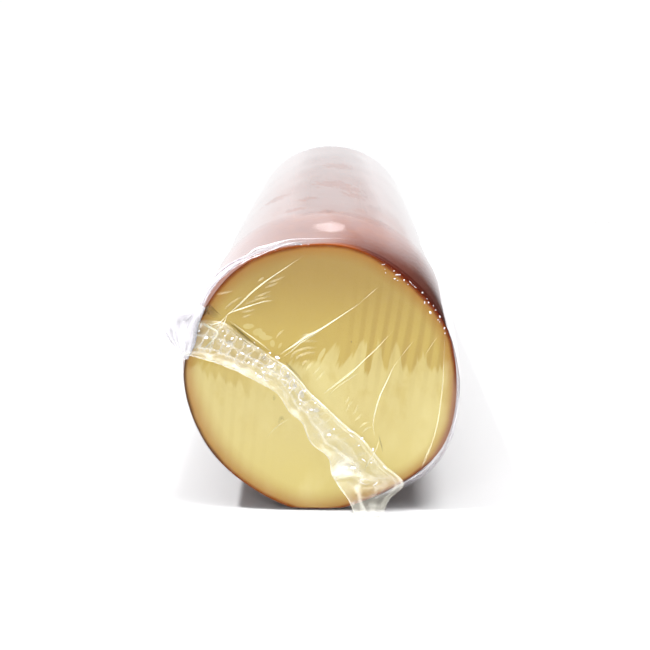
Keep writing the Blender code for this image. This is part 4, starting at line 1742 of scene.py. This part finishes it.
    def build(self) -> None:
        """Build the folds, and the dark creases that paint shade."""
        folds = [self.fold(*route) for route in self.routes]
        for routes, radius, haze in (
            (self.strokes, self.stroke_radius, self.stroke_haze),
            (self.arcs, self.arc_radius, self.arc_haze),
        ):
            folds += [self.fold(radius, haze, route, self.sunk, self.blunt) for route in routes]
        rings = [self.fold(self.ring_radius, self.ring_sheen, route, self.ring_out) for route in self.rings]
        FoldSweep().present("film_tension_folds", folds, FilmKind.FOLD)
        FoldSweep().present("film_seal_rings", rings, FilmKind.THREAD)
        FoldSweep().present("film_crease_shades", [self.fold(*each) for each in self.shade_creases], FilmKind.CREASE)

    def fold(
        self,
        radius: float,
        haze: float,
        route: Points,
        out: float = 0.0,
        taper: float = 0.7,
    ) -> Stretch:
        """Return one fold, thin at both ends.

        Args:
            radius: its radius in the middle, in millimetres.
            haze: how strongly its tint shows there, 0 to 1: painted highlight on white folds, shade on dark
                ones.
            route: the places that it runs through, in millimetres.
            out: how far it stands out of the face.
            taper: how long its points are, 0 for none.

        Returns:
            The fold.
        """
        flat = np.array(route) * MM
        length = np.linalg.norm(np.diff(flat, axis=0), axis=1).sum()
        share = np.linspace(0, 1, max(10, int(length / self.point_pitch)))
        uneven = 1 + self.unevenness * ripple_along(share * length / 0.012, 7)
        swell = np.maximum(self.thinnest, np.sin(math.pi * share) ** taper) * uneven
        places = self.form.on_face(curve_points(flat, share), out)
        return Stretch(places, radius * MM * swell, faded(share, haze))


@dataclass
class FarEnd:
    """The far end's crimped seal, and the pleats that gather the film to it."""

    form: LogForm
    length: float = 0.084
    width: float = 0.011
    turn: float = math.radians(-24)
    stand_off: float = 0.0014
    wall: float = 0.00025
    pleats: int = 13
    pleat_width: float = 0.0005
    pleat_haze: float = 0.5
    pleat_past_dome: float = 0.002

    def place(self, flat: np.ndarray, out: np.ndarray) -> np.ndarray:
        """Return points of the far end: right and up as its seal lies, and out of its dome."""
        dome = self.form.far_dome(np.linalg.norm(flat, axis=-1))
        height = float(self.form.centre_height(self.form.length))
        centre = Matrix.Translation((0, self.form.length / 2 - self.form.back_dome, height))
        frame = np.array(centre @ Matrix.Rotation(-math.pi / 2, 4, "X") @ Matrix.Rotation(self.turn, 4, "Z"))
        local = np.concatenate([flat, (dome + out)[..., None]], -1)
        return local @ frame[:3, :3].T + frame[:3, 3]

    def build(self) -> None:
        """Build the seal and the pleats."""
        self.build_seal()
        draw = np.random.default_rng(64)
        pleats = [self.pleat(side, step, draw) for side in (-1, 1) for step in range(self.pleats)]
        FoldSweep().present("film_far_pleats", pleats, FilmKind.THREAD)

    def build_seal(self) -> None:
        """Build the crimped seal."""
        share, across = np.meshgrid(np.linspace(0, 1, 260), np.linspace(0, 1, 22))
        x = self.length * (share - 0.5)
        y = self.width * (across - 0.5) + 0.0006 * ripple(x / 0.02, across, 61)
        out = self.stand_off + 0.0008 * bump(across, 0.95, 0.12) + 0.0003 * ripple(x / 0.006, across * 2, 62)
        item = sheet_object("film_far_seal", self.place(np.stack([x, y], -1), out))
        ends = bump(across, 0.0, 0.08) + bump(across, 0.95, 0.06)
        streak, cells = np.full(x.shape, 0.2), np.full(x.shape, 0.5)
        set_attributes(item.data, along=x, across=across, haze=0.10 + 0.4 * ends, streak=streak, cells=cells)
        CrimpRelief().tree().put_on(item, Material=FilmFinish().material(FilmKind.SEAL), Seed=7.0)
        thickened(item, self.wall)
        present(finished(item))

    def pleat(self, side: int, step: int, draw: np.random.Generator) -> Stretch:
        """Return one pleat, from the seal's side outwards, a little off its rule by random draws."""
        start = (step + 0.5) / self.pleats - 0.5
        foot = np.array([start * self.length, side * self.width / 2])
        lean = math.pi / 2 * side - 1.25 * side * 2 * start + draw.uniform(-0.06, 0.06)
        reach = self.form.radius - self.form.back_edge_radius + self.pleat_past_dome
        tip = reach * np.array([math.cos(lean), math.sin(lean)]) * draw.uniform(0.86, 1.0)
        middle = (foot + tip) / 2 + draw.uniform(-0.0012, 0.0012, 2)
        share = np.linspace(0, 1, 24)
        places = self.place(curve_points(np.array([foot, middle, tip]), share), 0.0001 + 0 * share)
        return Stretch(places, self.pleat_width * (1 - 0.9 * share), faded(share, self.pleat_haze))


class Studio:
    """The floor, the lights and the camera."""

    focal_length = 53.17
    camera_back = 0.3302
    camera_right = 0.0064
    camera_height = 0.1671
    camera_yaw = math.radians(0.87)
    camera_pitch = math.radians(16.11)
    world_strength = 1.03
    diffuse_drop = 0.65
    card_distance = 2.2
    floor_half = 6.0
    floor_back = 0.45
    panel_target = (0, -0.1, 0.06)
    # Name, strength, width in degrees, direction in which the log sees it, whether glossy film mirrors it
    suns = (
        ("left_key", 3.9, 4, (-0.46, -0.03, 1), True),
        ("right_key", 3.8, 22, (0.24, -0.03, 1), False),
        ("overhead_fill", 1.9, 50, (0, 0, 1), False),
        ("front_fill", 1.0, 10, (0, -1, 0.12), False),
    )
    # Name, place, size, radiance
    panels = (
        ("back_window", (0.025, 2.5, 1.241), (0.50, 0.007), 8),
        ("upper_left_window", (-0.5, -1.0, 1.1), (0.30, 0.30), 9),
    )
    # Name, turns and heights (where each starts, is whole, is whole to and ends), radiance
    cards = (
        ("black_flag", (-90, -80, 59, 72), (-0.5, -0.4, 2.1, 2.2), 0.0),
        ("back_card", (74, 80, 94, 99), (0.17, 0.36, 0.66, 0.80), 0.80),
        ("left_card", (100, 114, 250, 260), (-0.5, -0.4, 2.1, 2.2), 1.3),
    )

    def __init__(self, form: LogForm) -> None:
        """Keep the form that the studio is set up round."""
        self.form = form

    def build(self) -> None:
        """Set the stage, the lights and the camera."""
        self.floor()
        self.lights()
        self.camera()

    def floor(self) -> None:
        """Add the plain pale floor."""
        half, back = self.floor_half, self.floor_back
        corners = np.array([(-half, -half, 0), (half, -half, 0), (half, back, 0), (-half, back, 0)])
        floor = mesh_object("floor", corners, [(0, 1, 2, 3)])
        shader = Shader("floor_white")
        shader.set(Base_Color=(0.46, 0.46, 0.465, 1), Roughness=0.6, Specular_IOR_Level=0.2)
        floor.data.materials.append(shader.material)

    @staticmethod
    def aim(data: bpy.types.Light, place: Sequence[float], target: Sequence[float]) -> bpy.types.Object:
        """Put a light in its place, facing a target, and return its object."""
        lamp = new_object(data.name, data)
        lamp.location = place
        lamp.rotation_euler = (Vector(target) - Vector(place)).to_track_quat("-Z", "Y").to_euler()
        return lamp

    def sun(self, name: str, strength: float, width: float, toward: Sequence[float], mirrored: bool) -> None:
        """Add a far light.

        Args:
            name: the light's name.
            strength: how strong it is.
            width: how wide it looks, in degrees.
            toward: the direction in which the log sees it.
            mirrored: whether glossy film mirrors it.
        """
        data = bpy.data.lights.new(name, "SUN")
        data.energy = strength
        data.angle = math.radians(width)
        self.aim(data, toward, (0, 0, 0)).visible_glossy = mirrored

    def panel(self, name: str, place: Sequence[float], size: tuple[float, float], radiance: float) -> None:
        """Add a softbox that faces the log."""
        data = bpy.data.lights.new(name, "AREA")
        data.shape = "ELLIPSE"
        data.size, data.size_y = size
        data.energy = radiance * math.pi * size[0] * size[1]
        self.aim(data, place, self.panel_target)

    def lights(self) -> None:
        """Add the white surroundings and the lights."""
        world = bpy.data.worlds.new("white_room")
        bpy.context.scene.world = world
        world.use_nodes = True
        background = world.node_tree.nodes["Background"]
        background.inputs["Color"].default_value = (1, 1, 1, 1)
        graph = Graph(world.node_tree)
        lighting = graph.node("ShaderNodeLightPath", output="Is Diffuse Ray")
        graph.feed(background.inputs["Strength"], self.world_strength - self.diffuse_drop * lighting)
        for build, rows in ((self.sun, self.suns), (self.panel, self.panels), (self.card, self.cards)):
            for row in rows:
                build(*row)

    def card(self, name: str, turns: Sequence[float], heights: Sequence[float], radiance: float) -> None:
        """Hang a curved card round the log, out of the picture, for the film to mirror.

        Args:
            name: the card's name.
            turns: where it starts, is whole, is whole to and ends, in degrees anticlockwise from the right.
            heights: the same for its heights, in metres.
            radiance: how bright it is.
        """
        turn, height = np.meshgrid(
            np.linspace(turns[0], turns[-1], 81),
            np.linspace(heights[0], heights[-1], 41),
        )
        around = np.radians(turn)
        level = self.card_distance * np.stack([np.cos(around), np.sin(around), 0 * turn], -1)
        item = sheet_object(name, level)
        for vertex, up in zip(item.data.vertices, height.ravel()):
            vertex.co.z = up
        set_attributes(item.data, cover=window(turn, *turns) * window(height, *heights))
        shader = Shader(name)
        shader.set(Base_Color=(0.01, 0.01, 0.01, 1), Roughness=0.9, Specular_IOR_Level=0.0)
        shader.set(Emission_Color=(1, 1, 1, 1), Emission_Strength=radiance, Alpha=shader.attribute("cover"))
        item.data.materials.append(shader.material)
        item.visible_camera = False
        item.visible_diffuse = False
        item.visible_shadow = False

    def camera(self) -> None:
        """Add the camera at the photograph's angle."""
        data = bpy.data.cameras.new("camera")
        data.lens = self.focal_length
        data.sensor_width = 36
        camera = new_object("camera", data)
        camera.location = (self.camera_right, -self.form.length / 2 - self.camera_back, self.camera_height)
        camera.rotation_euler = (math.pi / 2 - self.camera_pitch, 0, self.camera_yaw)
        bpy.context.scene.camera = camera


def main() -> None:
    """Build the part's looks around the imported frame."""
    logging.basicConfig(level=logging.INFO)
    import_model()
    bpy.context.scene.view_settings.view_transform = "Standard"
    form = LogForm()
    for piece in (Cheese, Wrap, FrontSeal, RimFilm, RimThreads, RimSparkle, TensionFolds, FarEnd, Studio):
        piece(form).build()


if __name__ == "__main__":
    main()
